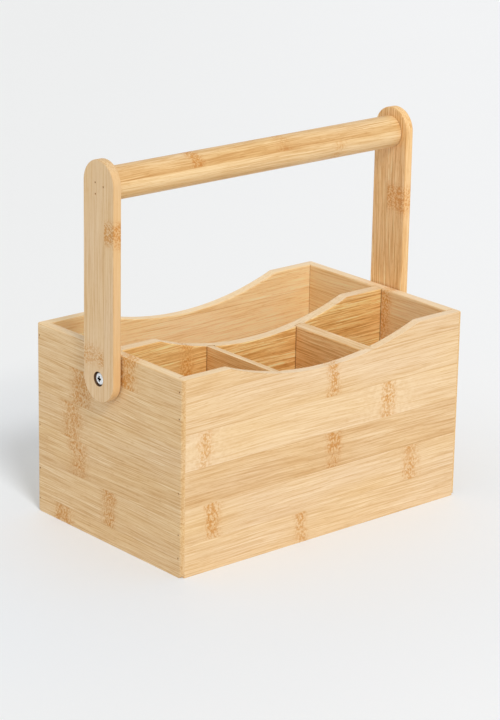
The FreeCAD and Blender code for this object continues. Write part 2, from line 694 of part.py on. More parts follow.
def pivot_sleeve(name, sign, turned):
    """Sleeve nut: a blind barrel through end wall, washer and arm, with a flat slotted head."""
    body = new_body(f"{name}_pivot_sleeve")
    label = body.Label
    corners = [
        (("+", "sleeve_crown"), None),
        (("+", "sleeve_crown"), ("+", "sleeve_head_radius")),
        (("+", "sleeve_seat"), ("+", "sleeve_head_radius")),
        (("+", "sleeve_seat"), ("+", "sleeve_radius")),
        (("-", "sleeve_tip"), ("+", "sleeve_radius")),
        (("-", "sleeve_tip"), ("+", "screw_bore")),
        (("-", "screw_bore_end"), ("+", "screw_bore")),
        (("-", "screw_bore_end"), None),
    ]
    turned_part(body, corners)
    sketch = new_sketch(body, f"{label}_slot_outline", "YZ_Plane", ("+", "sleeve_crown"))
    box_outline(sketch, ("-", "sleeve_head_radius"), ("+", "sleeve_head_radius"),
                ("-", "slot_half"), ("+", "slot_half"))
    cut(body, f"{label}_slot", sketch, "sleeve_slot_depth", "back")
    place(body, across=(sign, "half_width"), up=("+", "pivot_height"), turned=turned)


def pivot_screw(name, sign, turned):
    """Pan-head screw with a cross recess; its head rests on the end of the sleeve."""
    body = new_body(f"{name}_pivot_screw")
    label = body.Label
    corners = [
        (("-", "screw_tip"), None),
        (("-", "screw_tip"), ("+", "screw_radius")),
        (("-", "sleeve_tip"), ("+", "screw_radius")),
        (("-", "sleeve_tip"), ("+", "screw_head_radius")),
        (("-", "screw_edge_out"), ("+", "screw_head_radius")),
        (("-", "screw_crown_out"), ("+", "screw_crown_radius")),
        (("-", "screw_crown_out"), None),
    ]
    turned_part(body, corners)
    sketch = new_sketch(body, f"{label}_cross_outline", "YZ_Plane", ("-", "screw_crown_out"))
    box_outline(sketch, None, ("+", "cross_reach"), ("-", "blade_half"), ("+", "blade_half"))
    blade = cut(body, f"{label}_cross_blade", sketch, "cross_recess_depth", "normal")
    cross = body.newObject("PartDesign::PolarPattern", f"{label}_cross")
    cross.Originals = [blade]
    cross.Axis = (origin_feature(body, "X_Axis"), [""])
    cross.Angle = 360
    cross.Occurrences = 4
    body.Tip = cross
    place(body, across=(sign, "half_width"), up=("+", "pivot_height"), turned=turned)


def pivot_washer(name, sign, turned):
    """Flat spacer washer between end wall and arm."""
    body = new_body(f"{name}_pivot_washer")
    sketch = new_sketch(body, f"{body.Label}_outline", "YZ_Plane")
    hole(sketch, None, None, "washer_radius")
    hole(sketch, None, None, "sleeve_hole")
    pad(body, f"{body.Label}_disc", sketch, "washer_thick", "back")
    place(body, across=(sign, "half_width"), up=("+", "pivot_height"), turned=turned)


# ---------------------------------------------------------------- brads

def brad_group(label, sign, outer_face, places):
    """One node of like brads driven inwards along x from an outer face."""
    brads = []
    outer_end = f"Sizes.half_width{outer_face} - Sizes.brad_set"
    low_end = f"-({outer_end})" if sign == "-" else f"{outer_end} - Sizes.brad_length"
    for number, (deep, up) in enumerate(places, start=1):
        brad = DOC.addObject("Part::Box", f"{label}_{number}")
        for side, extent in (("Length", "length"), ("Width", "thin"), ("Height", "wide")):
            brad.setExpression(side, f"Sizes.brad_{extent}")
        brad.setExpression("Placement.Base.x", low_end)
        brad.setExpression("Placement.Base.y", f"{deep} - Sizes.brad_thin / 2")
        brad.setExpression("Placement.Base.z", f"{up} - Sizes.brad_wide / 2")
        brads.append(brad)
    group = DOC.addObject("Part::Compound", label)
    group.Label = label
    group.Links = brads
    NODES[label] = group


def wall_brads(name, sign):
    """Ten brads from an end wall into the ends of the front and back walls."""
    places = [("-Sizes.front_brad_place", f"Sizes.{height}") for height in FRONT_BRADS]
    places += [("Sizes.rear_brad_place", f"Sizes.{height}") for height in REAR_BRADS]
    brad_group(f"{name}_wall_brads", sign, "", places)


def arm_brads(name, sign):
    """Three brads from an arm into the end of the grip bar."""
    places = [
        (f"{side}Sizes.{across}", f"Sizes.pivot_height + Sizes.{up}")
        for (side, across), (_, up) in grip_brads("-", "+")
    ]
    brad_group(f"{name}_grip_brads", sign, " + Sizes.arm_outside", places)


# ---------------------------------------------------------------- the caddy

front_panel()
back_panel()
bottom_panel()
middle_divider()
for name, sign, turned, front in ENDS:
    end_panel(name, sign, turned, front)
    cross_divider(name, sign)
    handle_arm(name, sign, turned, front)
    pivot_sleeve(name, sign, turned)
    pivot_screw(name, sign, turned)
    pivot_washer(name, sign, turned)
    wall_brads(name, sign)
    arm_brads(name, sign)
handle_grip()
DOC.recompute()

for item in DOC.Objects:
    if "Invalid" in item.State or "Error" in item.State:
        raise RuntimeError(f"{item.Label} failed: {item.State}")
for label, node in NODES.items():
    if node.Shape.isNull() or not node.Shape.isValid() or not node.Shape.Solids:
        raise RuntimeError(f"{label} has no valid solid")

os.makedirs("parts", exist_ok=True)
for label, node in NODES.items():
    node.Shape.exportStep(os.path.join("parts", f"{label}.step"))
    print(f"{label}: {len(node.Shape.Solids)} solid(s), {node.Shape.Volume / 1000:.2f} cm3")
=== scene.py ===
"""Looks of a bamboo utensil caddy with a swing handle, dressed over its packed CAD frame."""
import math
from contextlib import contextmanager

import bmesh
import bpy
from bpy.props import FloatProperty, FloatVectorProperty, PointerProperty
from mathutils import Matrix, Vector


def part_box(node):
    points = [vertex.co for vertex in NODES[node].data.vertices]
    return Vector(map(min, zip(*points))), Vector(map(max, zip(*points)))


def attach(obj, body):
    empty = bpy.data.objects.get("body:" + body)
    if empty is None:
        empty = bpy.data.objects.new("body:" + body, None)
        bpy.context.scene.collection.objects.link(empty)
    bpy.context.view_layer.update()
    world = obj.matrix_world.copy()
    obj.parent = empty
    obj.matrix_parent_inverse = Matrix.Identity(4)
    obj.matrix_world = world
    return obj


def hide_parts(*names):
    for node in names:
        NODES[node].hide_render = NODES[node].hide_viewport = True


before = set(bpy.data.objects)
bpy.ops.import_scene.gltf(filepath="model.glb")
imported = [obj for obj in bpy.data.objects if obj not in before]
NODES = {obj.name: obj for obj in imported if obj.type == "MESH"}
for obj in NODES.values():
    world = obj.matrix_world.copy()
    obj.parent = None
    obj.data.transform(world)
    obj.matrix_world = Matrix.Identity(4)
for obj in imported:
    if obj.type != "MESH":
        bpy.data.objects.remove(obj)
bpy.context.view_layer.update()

bl_info = {
    "name": "Bamboo utensil caddy",
    "version": (1, 0, 0),
    "blender": (4, 5, 0),
    "location": "View3D > Sidebar > Caddy",
    "description": "Builds the boards, handle, pivots and finishes of a bamboo utensil caddy",
    "category": "Add Mesh",
}

SIDES = ("left", "right")
X, Y, Z = Vector((1, 0, 0)), Vector((0, 1, 0)), Vector((0, 0, 1))
ORIGIN = Vector((0, 0, 0))
WHITE = (1.0, 1.0, 1.0)
HAIR = 0.00002  # tolerance when a place is compared
SHARP = math.radians(20)  # edges that turn further than this can be rounded
SMOOTH = math.radians(36)  # edges that turn less than this are shaded smooth
OVERRUN = 0.003  # a cutter stands this far out of what it cuts
SCOOP_SIDES, BAR_SIDES, BORE_SIDES, SHANK_SIDES = 720, 96, 64, 48


# ---- sizes and colours

def level(name, description, default, **kind):
    return FloatProperty(name=name, description=description, default=default, min=0, **kind)


def length(*words):
    return level(*words, precision=5, unit="LENGTH")


def share(*words):
    return level(*words, max=1, subtype="FACTOR")


def colour(name, description, default):
    return FloatVectorProperty(name=name, description=description, default=default, size=3,
                               min=0, max=1, subtype="COLOR")


class BoardSizes(bpy.types.PropertyGroup):
    """How the boards are cut, grooved and eased."""

    rim_ease: length("Rim ease", "Rounding of sanded rims", 0.0009)
    joint_ease: length("Joint ease", "Hairline rounding where boards meet", 0.00012)
    scoop_depth: length("Scoop depth", "Dip of the scooped rims", 0.016)
    scoop_radius: length("Scoop radius", "Radius of the scooped rims", 0.25)
    scoop_corner: length("Scoop corner", "Easing where a rim turns into its scoop", 0.0004)
    corner_round: length("Corner round", "Radius of the upright outer corners", 0.0024)
    corner_lip: length("Corner lip", "An end wall's lip over the long walls' ends", 0.0026)
    foot_round: length("Foot round", "Radius of the end walls' lower corners", 0.004)
    groove: length("Groove", "Depth of the grooves that hold boards", 0.002)
    groove_play: length("Groove play", "Play of a board in its groove", 0.00015)
    nut_play: length("Nut play", "Play of a sleeve nut in its end wall", 0.00005)
    brad_play: length("Brad play", "Play of a brad in a hole", 0.00003)
    end_brad_play: length("End brad play", "Its play in an end wall", 0.0000333)
    cross_drop: length("Cross drop", "Cross dividers' tops below the scoop they follow", 0.0003)


class HandleSizes(bpy.types.PropertyGroup):
    """How the arms, the grip bar and the pivots are cut."""

    arm_ease: length("Arm ease", "Rounding of the arms' edges", 0.0008)
    grip_ease: length("Grip ease", "Rounding of the grip bar's ends", 0.0008)
    recess_radius: length("Recess radius", "Recess of an arm for its screw", 0.0052)
    recess_depth: length("Recess depth", "Depth of that recess", 0.0032)
    bore_radius: length("Bore radius", "Bore of an arm for its sleeve", 0.00305)
    sleeve_head: length("Sleeve head", "Thickness of a sleeve nut's head", 0.0015)
    sleeve_radius: length("Sleeve radius", "Barrel of a sleeve nut", 0.003)
    sleeve_ease: length("Sleeve ease", "Chamfer of a sleeve nut's head", 0.0004)
    tip_ease: length("Tip ease", "Chamfer of a sleeve nut's tip", 0.0002)
    washer_ease: length("Washer ease", "Chamfer of a washer", 0.0002667)
    screw_shank: length("Screw shank", "Radius of a pivot screw's shank", 0.002)
    shank_play: length("Shank play", "Play of a shank in its sleeve nut", 0.0001)
    screw_head: length("Screw head", "Height of a pivot screw's head", 0.0025)
    cross_span: length("Cross span", "Span of a screw's cross recess", 0.0056)
    cross_blade: length("Cross blade", "Width of the cross recess's arms", 0.0017)
    cross_depth: length("Cross depth", "Depth of the cross recess", 0.0017)
    slot_width: length("Slot width", "Driver slot of a sleeve nut", 0.0012)
    slot_depth: length("Slot depth", "Depth of that slot", 0.0007)


class BambooLook(bpy.types.PropertyGroup):
    """Colours and grain of the bamboo."""

    pale: colour("Pale", "Bamboo of middling depth", (0.86, 0.618, 0.356))
    stain: colour("Stain", "What one full depth of browning leaves of the pale colour",
                  (0.752, 0.607, 0.427))
    knot: colour("Knot", "What a knot's specks leave of the colour", (0.79, 0.54, 0.25))
    # the colour below darkens an arm's screw recess, and the length after it is how far the
    # darkened rim round it reaches
    scorched: colour("Scorched", "What drilling leaves of the colour in a recess",
                     (0.13, 0.09, 0.06))
    scorch_edge: length("Scorch edge", "How far a recess's scorched rim reaches", 0.0002)
    # painted shade: the corner colour, its strength and its reach darken the upright corners
    # between boards, where shade falls
    corner: colour("Corner", "What the corners between boards leave of the colour",
                   (0.42, 0.30, 0.20))
    contact: share("Contact", "Strength of the darkness in corners", 0.8)
    contact_reach: length("Contact reach", "How far the darkness of a corner reaches", 0.0009)
    strip_width: length("Strip width", "Width of a glued strip", 0.0267)
    roughness: share("Roughness", "Satin lacquer", 0.42)


class MetalLook(bpy.types.PropertyGroup):
    """Colours of the pivots and the brads."""

    bright: colour("Bright steel", "Screws, sleeves and washers", (0.94, 0.96, 0.97))
    dark: colour("Dark steel", "Brads", (0.36, 0.22, 0.13))
    # painted shade: the colour below darkens the screw's cross recess
    hollow: colour("Hollow", "What a screw's cross recess leaves of its colour",
                   (0.04, 0.04, 0.045))


class StudioLook(bpy.types.PropertyGroup):
    """Floor and light around the caddy."""

    floor: colour("Floor", "Plain pale floor", (0.92, 0.93, 0.94))
    floor_shade: colour("Floor shade", "Its darker side", (0.87, 0.88, 0.88))
    # painted shade: the colour below makes the floor darker and bluer round the caddy, against
    # the caddy's warm bounce
    floor_near: colour("Floor near", "Its colour around the caddy", (0.83, 0.865, 0.90))
    glow: level("Floor glow", "Lifts the floor in the picture alone", 0.05)
    key: level("Key light", "Strength of the light from the front", 1.52)
    sky: level("Sky light", "Strength of the light all round", 0.62)
    backdrop: level("Backdrop", "How bright the sky is in the picture", 0.85)


# ---- hand tools

def deselect():
    bpy.ops.object.select_all(action="DESELECT")


def only(*pieces):
    """Selects these pieces and nothing else; the first becomes the active one."""
    deselect()
    for piece in pieces:
        piece.select_set(True)
    bpy.context.view_layer.objects.active = pieces[0]


@contextmanager
def editing(piece, kind="EDGE", action="DESELECT"):
    """Opens a piece in edit mode with nothing selected, or all of it."""
    only(piece)
    bpy.ops.object.mode_set(mode="EDIT")
    bpy.ops.mesh.select_mode(type=kind)
    bpy.ops.mesh.select_all(action=action)
    yield bmesh.from_edit_mesh(piece.data)
    bpy.ops.object.mode_set(mode="OBJECT")


def face_outwards():
    """Turns every face of the piece in edit mode outwards."""
    bpy.ops.mesh.select_all(action="SELECT")
    bpy.ops.mesh.normals_make_consistent(inside=False)


def settle(name):
    """Names the new active piece and puts its place into its mesh."""
    piece = bpy.context.active_object
    piece.name = piece.data.name = name
    bpy.ops.object.transform_apply(location=True, rotation=True, scale=True)
    return piece


def blank(low, high, name="cutter"):
    """A sawn blank between two corners."""
    deselect()
    low, high = Vector(low), Vector(high)
    bpy.ops.mesh.primitive_cube_add(size=1, location=(low + high) / 2, scale=high - low)
    return settle(name)


def rod(start, end, radius, sides, name="cutter", turned_by=0.0):
    """A round rod between two points."""
    deselect()
    start, end = Vector(start), Vector(end)
    turn = (end - start).to_track_quat("Z", "X").to_matrix().to_4x4()
    turn = turn @ Matrix.Rotation(turned_by, 4, "Z")
    bpy.ops.mesh.primitive_cylinder_add(
        vertices=sides, radius=radius, depth=(end - start).length, location=(start + end) / 2)
    bpy.context.active_object.rotation_euler = turn.to_euler()
    return settle(name)


def round_edges(piece, width, wanted, segments=3):
    """Rounds the sharp edges whose two ends pass a test."""
    with editing(piece) as mesh:
        for edge in mesh.edges:
            if edge.is_manifold and edge.calc_face_angle() > SHARP:
                edge.select_set(wanted(*(corner.co for corner in edge.verts)))
        bmesh.update_edit_mesh(piece.data)
        bpy.ops.mesh.bevel(offset=width, segments=segments, profile=0.5, affect="EDGES")


def plane_corner(piece, centre, first, second, radius, passes=6):
    """Planes a corner round, in passes that touch its arc one after another."""
    with editing(piece):
        for number in range(passes):
            angle = math.pi / 2 * (number + 0.5) / passes
            facing = first * math.cos(angle) + second * math.sin(angle)
            bpy.ops.mesh.select_all(action="SELECT")
            bpy.ops.mesh.bisect(plane_co=centre + facing * radius, plane_no=facing,
                                use_fill=True, clear_outer=True)


def modify(piece, kind, **settings):
    """Adds a modifier to a piece and applies it."""
    only(piece)
    bpy.ops.object.modifier_add(type=kind)
    tool = piece.modifiers[-1]
    for name, setting in settings.items():
        setattr(tool, name, setting)
    bpy.ops.object.modifier_apply(modifier=tool.name)


def carve(piece, *cutters):
    """Cuts the shapes of the cutters, which stand clear of each other, out of a piece."""
    only(*cutters)
    if len(cutters) > 1:
        bpy.ops.object.join()
    cutter = bpy.context.active_object
    modify(piece, "BOOLEAN", operation="DIFFERENCE", solver="EXACT", object=cutter)
    bpy.data.objects.remove(cutter)


def drill(piece, pivot, start, end, radius, sides=BORE_SIDES):
    """Cuts a round hole along a pivot's axis, from one place on it to another."""
    carve(piece, rod((start, pivot.y, pivot.z), (end, pivot.y, pivot.z), radius, sides))


def twin(piece, name):
    """The same piece for the caddy's other end, with its own mesh."""
    only(piece)
    bpy.ops.object.duplicate()
    copy = bpy.context.active_object
    copy.name = copy.data.name = name
    with editing(copy, action="SELECT"):
        bpy.ops.transform.resize(value=(-1, 1, 1), center_override=ORIGIN)
        face_outwards()
    return copy


def hand_in(piece, body, material, node):
    """Smooths a finished piece, gives it its finish and sets it on its body for a CAD node."""
    with editing(piece, "FACE", "SELECT"):
        bpy.ops.mesh.remove_doubles(threshold=HAIR / 20)
        face_outwards()
    only(piece)
    bpy.ops.object.shade_smooth_by_angle(angle=SMOOTH)
    modify(piece, "WEIGHTED_NORMAL", keep_sharp=True)
    piece.data.materials.clear()
    piece.data.materials.append(material)
    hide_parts(node)
    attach(piece, body)


def hand_in_pair(left, body, materials, node):
    """Copies a finished left piece for the right and hands in both, each with its finish."""
    right = twin(left, left.name.replace("left", "right"))
    for piece, side, material in zip((left, right), SIDES, materials):
        hand_in(piece, body, material, f"{side}_{node}")


def lie_at(value, axis, *corners):
    """True where all corners lie at a place along an axis."""
    return all(abs(corner[axis] - value) < HAIR for corner in corners)


def left_pivot(kind):
    """Corners of a left pivot piece, and where its axis meets the caddy's middle."""
    low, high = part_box(f"left_pivot_{kind}")
    return low, high, Vector((0, (low.y + high.y) / 2, (low.z + high.z) / 2))


def brad_boxes(node):
    """Lowest and highest corners of each brad in a node of brads."""
    loose = bmesh.new()
    loose.from_mesh(NODES[node].data)
    bmesh.ops.remove_doubles(loose, verts=loose.verts, dist=HAIR)
    seen, boxes = set(), []
    for first in loose.verts:
        if first not in seen:
            brad, nearest = set(), {first}
            while nearest:
                brad |= nearest
                nearest = {e.other_vert(v) for v in nearest for e in v.link_edges} - brad
            seen |= brad
            boxes.append([Vector(map(pick, *(v.co for v in brad))) for pick in (min, max)])
    loose.free()
    return boxes


def brad_holes(node, play, beyond=OVERRUN, front=-math.inf, back=math.inf):
    """Cutters for a node's brads between two places along Y, longer than the brads are."""
    room = Vector((beyond, play, play))
    return [blank(low - room, high + room) for low, high in brad_boxes(node)
            if front < low.y < back]


# ---- shader wiring

class Wiring:
    """Adds shader nodes to one tree, each linked to what feeds it."""

    def __init__(self, tree):
        self.tree = tree

    def add(self, kind, *feeds, **settings):
        """A new node, with its inputs fed in order."""
        made = self.tree.nodes.new("ShaderNode" + kind)
        made.location.x = 180 * len(self.tree.nodes)
        for name, setting in settings.items():
            setattr(made, name, setting)
        for socket, feed in zip([s for s in made.inputs if s.enabled], feeds):
            self.feed(socket, feed)
        return made

    def out(self, kind, *feeds, **settings):
        """The first output of a new node."""
        made = self.add(kind, *feeds, **settings)
        return next(s for s in made.outputs if s.enabled)

    def feed(self, socket, feed):
        """Links an input to what feeds it, or sets it. Colours are opaque."""
        if isinstance(feed, bpy.types.NodeSocket):
            self.tree.links.new(feed, socket)
        else:
            socket.default_value = (*feed, 1.0) if socket.type == "RGBA" else feed

    def plug(self, made, **feeds):
        """Feeds a node's inputs by their names and gives its outputs."""
        for label, feed in feeds.items():
            self.feed(made.inputs[label.replace("_", " ")], feed)
        return made.outputs

    def math(self, operation, *feeds):
        return self.out("Math", *feeds, operation=operation)

    def vector(self, operation, *feeds):
        return self.out("VectorMath", *feeds, operation=operation)

    def times(self, first, second):
        return self.math("MULTIPLY", first, second)

    def minus(self, first, second):
        return self.math("SUBTRACT", first, second)

    def total(self, start, *parts):
        """A value and the parts that are added to it, each with its weight."""
        for part, weight in parts:
            start = self.math("MULTIPLY_ADD", part, weight, start)
        return start

    def ramp(self, value, start, end, low=0.0, high=1.0):
        """A soft step from low to high as a value goes from start to end."""
        return self.out("MapRange", value, start, end, low, high,
                        interpolation_type="SMOOTHSTEP")

    def mix(self, amount, first, second, blend="MIX"):
        return self.out("Mix", amount, first, second, data_type="RGBA", blend_type=blend)

    def axes(self, place):
        """The three parts of a place."""
        return self.add("SeparateXYZ", place).outputs

    def reach(self, first, second, centre):
        """How far a place lies from a line along the axis that isn't given."""
        off = [self.minus(*pair) for pair in zip((first, second), centre)]
        return self.math("SQRT", self.total(0.0, *((part, part) for part in off)))

    def noise(self, place, stretch, detail=1.0, roughness=0.5):
        """Noise whose grains are 1 / stretch metres long on each axis."""
        spread = self.vector("MULTIPLY", place, stretch)
        return self.out("TexNoise", spread, 1.0, detail, roughness)

    def bump(self, strength, distance, height):
        """The normals of a fine relief."""
        return self.plug(self.add("Bump"), Strength=strength, Distance=distance,
                         Height=height)[0]

    def group(self, fill, **feeds):
        """A node group, filled when it is first asked for, with its inputs fed by name."""
        name = fill.__name__.replace("_", " ").capitalize()
        tree = bpy.data.node_groups.get(name)
        if tree is None:
            tree = bpy.data.node_groups.new(name, "ShaderNodeTree")
            fill(tree)
        return self.plug(self.add("Group", node_tree=tree), **feeds)


def give_sockets(tree, inputs, outputs):
    """Names a node group's sockets; gives its wiring, its inputs and its way out.

    Each socket has its default, or its kind where it isn't a value.
    """
    for side, sockets in (("INPUT", inputs), ("OUTPUT", outputs)):
        for label, default in sockets.items():
            kind = default if isinstance(default, str) else "Float"
            socket = tree.interface.new_socket(label, in_out=side,
                                               socket_type="NodeSocket" + kind)
            if kind == "Float":
                socket.default_value = default
    entry = tree.nodes.new("NodeGroupInput")
    return Wiring(tree), entry.outputs, tree.nodes.new("NodeGroupOutput")


def new_material(name):
    """A new material, its wiring and its shader."""
    material = bpy.data.materials.new(name)
    material.use_nodes = True
    w = Wiring(material.node_tree)
    return material, w, next(n for n in w.tree.nodes if n.type == "BSDF_PRINCIPLED")


# ---- bamboo

# grains of each noise in a metre: along the fibres, through the board and across its strips
SWAY, FRINGE, BLOT = (110, 110, 110), (90, 420, 520), (60, 60, 130)
WAVE, BLUSH = (11, 25, 25), (12, 30, 40)
SLOW_BANDS, LINES, HAIRS = (6, 130, 210), (20, 800, 1000), (34, 1500, 1850)
SHINY_HAIRS, DASHES = (24, 1050, 1300), (170, 1000, 1250)
SPECKS, PATCH_GRAINS, BUNDLES = (760, 760, 560), (300, 300, 420), (900, 900, 900)

SWAY_SIZE, FRINGE_SIZE = 0.010, 0.007
STEEPNESS = 2.8  # how sharply a knot's band ends
PATCH_REACH = 4.2  # how much further than its knot a patch spreads
STRIP_EDGE = (-0.0006, 0.0001)  # where a knot fades out at its strip's edge
SEAM_REACH = 0.0004
TONES = 6  # strips that can have their own tone
PALEST = (0.97, 0.84, 0.68)  # no bamboo is paler
GRAIN_RELIEF = (0.35, 0.0001)  # its strength and its height


def bamboo_knot(tree):
    """One knot: a soft band across its strip, its flames, and a pale patch beside it."""
    w, given, leave = give_sockets(tree, {
        "Vector": "Vector", "Along": 0.0, "Across": 0.0, "Half Strip": 0.0133, "Spread": 0.006,
        "Strength": 1.0, "Patch": 0.0, "Knots Before": 0.0, "Patches Before": 0.0,
    }, {"Knots": 0.0, "Patches": 0.0})
    place = given["Vector"]
    spots = w.axes(place)
    sway = w.minus(w.noise(place, SWAY, 2.0, 0.6), 0.5)
    fringe = w.minus(w.noise(place, FRINGE, 2.0, 0.6), 0.5)
    along = w.total(w.minus(spots[0], given["Along"]), (sway, SWAY_SIZE),
                    (fringe, FRINGE_SIZE))
    near = w.math("ABSOLUTE", w.math("DIVIDE", along, given["Spread"]))
    band = w.math("EXPONENT", w.times(w.math("POWER", near, STEEPNESS), -1.0))
    band = w.times(band, w.ramp(w.noise(place, BLOT), 0.30, 0.62, 0.60, 1.10))
    wide = w.math("DIVIDE", near, PATCH_REACH)
    patch = w.math("EXPONENT", w.times(w.times(wide, wide), -1.0))
    off = w.math("ABSOLUTE", w.minus(spots[2], given["Across"]))
    inside = w.ramp(w.minus(off, given["Half Strip"]), *STRIP_EDGE, 1.0, 0.0)
    knots = w.times(band, w.times(inside, given["Strength"]))
    patches = w.times(w.times(patch, given["Patch"]), inside)
    w.plug(leave, Knots=w.math("MAXIMUM", knots, given["Knots Before"]),
           Patches=w.math("MAXIMUM", patches, given["Patches Before"]))


def painted_corner_shade(tree):
    """How near a place is to a neighbour's box, for painted shade in corners: one at the box and
    nothing away from it.
    """
    w, given, leave = give_sockets(tree, {
        "Vector": "Vector", "Middle": "Vector", "Half Size": "Vector", "Reach": 0.0009,
        "Contact Before": 0.0,
    }, {"Contact": 0.0})
    off = w.vector("ABSOLUTE", w.vector("SUBTRACT", given["Vector"], given["Middle"]))
    off = w.vector("MAXIMUM", w.vector("SUBTRACT", off, given["Half Size"]), ORIGIN)
    near = w.ramp(w.vector("LENGTH", off), HAIR, given["Reach"], 1.0, 0.0)
    w.plug(leave, Contact=w.math("MAXIMUM", near, given["Contact Before"]))


def bamboo_grain(tree):
    """Glued strips with their fibres, seams, knots, sawn ends and eased edges.

    The grain runs along X, strips lie side by side along Z, and Y goes through the board.
    All of it adds up to one depth of browning, which stains the pale colour.
    """
    w, given, leave = give_sockets(tree, {
        "Vector": "Vector", "Facing": "Vector", "Strip Width": 0.0267, "First Seam": 0.0,
        **{f"Tone {number}": 0.2 for number in range(TONES)},
        "Streaks": 1.0, "Edge Tone": 0.4, "Rim Tone": 0.0, "Rim Streaks": 0.5,
        "Rim Tint": "Color", "Knots": 0.0, "Patches": 0.0, "Pale": "Color", "Stain": "Color",
        "Knot": "Color", "Roughness": 0.42,
    }, {"Color": "Color", "Roughness": 0.0, "Height": 0.0})
    place = given["Vector"]
    spots = w.axes(place)
    in_strips = w.math("DIVIDE", w.minus(spots[2], given["First Seam"]), given["Strip Width"])
    strip = w.math("FLOOR", in_strips)
    tone = w.total(0.0, *((w.math("COMPARE", strip, float(number), 0.1), given[f"Tone {number}"])
                          for number in range(TONES)))

    # each strip is cut from another place of its stalk, and leans a little
    draw = w.out("TexWhiteNoise", strip, noise_dimensions="1D")
    tilt = w.total(-0.015, (draw, 0.03))
    lean = w.total(0.0, (draw, 0.7), (w.noise(place, WAVE), 0.0035), (spots[0], tilt))
    own = w.vector("ADD", place, w.out("CombineXYZ", w.times(draw, 3.1), 0.0, lean))

    # fibres: slow bands, crisp lines, hairs, pale hairs and short dashes
    slow = w.noise(own, SLOW_BANDS, 2.0)
    lines = w.ramp(w.noise(own, LINES, 1.0, 0.6), 0.50, 0.64)
    hairs = w.ramp(w.noise(own, HAIRS, 1.0, 0.6), 0.46, 0.62)
    shine = w.ramp(w.noise(own, SHINY_HAIRS), 0.52, 0.68)
    dashes = w.ramp(w.noise(own, DASHES), 0.56, 0.72)
    fibres = w.total(-0.03, (lines, 0.44), (hairs, 0.32), (dashes, 0.26), (shine, -0.30),
                     (w.minus(slow, 0.5), 0.45))
    calm = w.times(w.total(1.0, (given["Patches"], -0.6)), w.total(1.0, (given["Knots"], -0.5)))
    calm = w.times(calm, w.total(0.8, (tone, 0.9)))

    # knots have packed specks, and the pale patches beside some of them darker grains
    specks = w.ramp(w.noise(place, SPECKS, 2.0, 0.6), 0.42, 0.58, 0.12, 1.0)
    specks = w.times(specks, given["Knots"])
    grains = w.ramp(w.noise(place, PATCH_GRAINS), 0.36, 0.60, 0.12, -0.16)

    # glue seams between the strips, which are deeper towards one of their seams
    part = w.math("FRACT", in_strips)
    from_seam = w.times(w.math("MINIMUM", part, w.minus(1.0, part)), given["Strip Width"])
    seam = w.ramp(from_seam, 0.0, SEAM_REACH, 1.0, 0.0)
    seam = w.times(seam, w.ramp(slow, 0.35, 0.6, 0.2, 0.8))
    depth = w.total(tone, (fibres, w.times(given["Streaks"], calm)), (grains, given["Patches"]),
                    (seam, 1.0), (w.minus(0.5, part), w.times(tone, 0.6)))

    # rims show the strips' own edges, with a tone that is partly painted light, and sawn ends
    # their cut fibre bundles
    facing = [w.math("ABSOLUTE", way) for way in w.axes(given["Facing"])]
    rim, sawn = w.ramp(facing[2], 0.6, 0.85), w.ramp(facing[0], 0.6, 0.9)
    on_rim = w.total(given["Rim Tone"], (depth, given["Rim Streaks"]))
    on_end = w.ramp(w.noise(place, BUNDLES), 0.38, 0.66, 0.15, 0.75)
    depth = w.out("Mix", sawn, w.out("Mix", rim, depth, on_rim), on_end)
    eased = w.times(w.ramp(facing[1], 0.08, 0.35), w.ramp(facing[1], 0.75, 0.97, 1.0, 0.0))
    eased = w.times(eased, w.ramp(slow, 0.3, 0.6, 0.4, 1.0))
    depth = w.total(depth, (eased, given["Edge Tone"]))

    # colour, a little redder in places and yellower in others
    blush = w.minus(w.noise(own, BLUSH), 0.5)
    depths = depth, w.total(depth, (blush, 0.12)), w.total(depth, (blush, 0.36))
    stain = w.add("SeparateColor", given["Stain"]).outputs
    stained = w.out("CombineColor", *(w.math("POWER", *pair) for pair in zip(stain, depths)))
    skin = w.mix(1.0, given["Pale"], stained, "MULTIPLY")
    skin = w.mix(w.times(specks, w.minus(1.0, sawn)), skin, given["Knot"], "MULTIPLY")
    # the rim tint is partly the rims' own colour and partly painted light
    skin = w.mix(rim, skin, given["Rim Tint"], "MULTIPLY")
    w.plug(leave, Color=w.vector("MINIMUM", skin, PALEST),
           Roughness=w.total(given["Roughness"], (lines, 0.10), (specks, 0.08), (sawn, 0.15)),
           Height=w.total(0.0, (lines, -0.5), (hairs, -0.35), (dashes, -0.4), (specks, -0.6),
                          (seam, -0.8)))


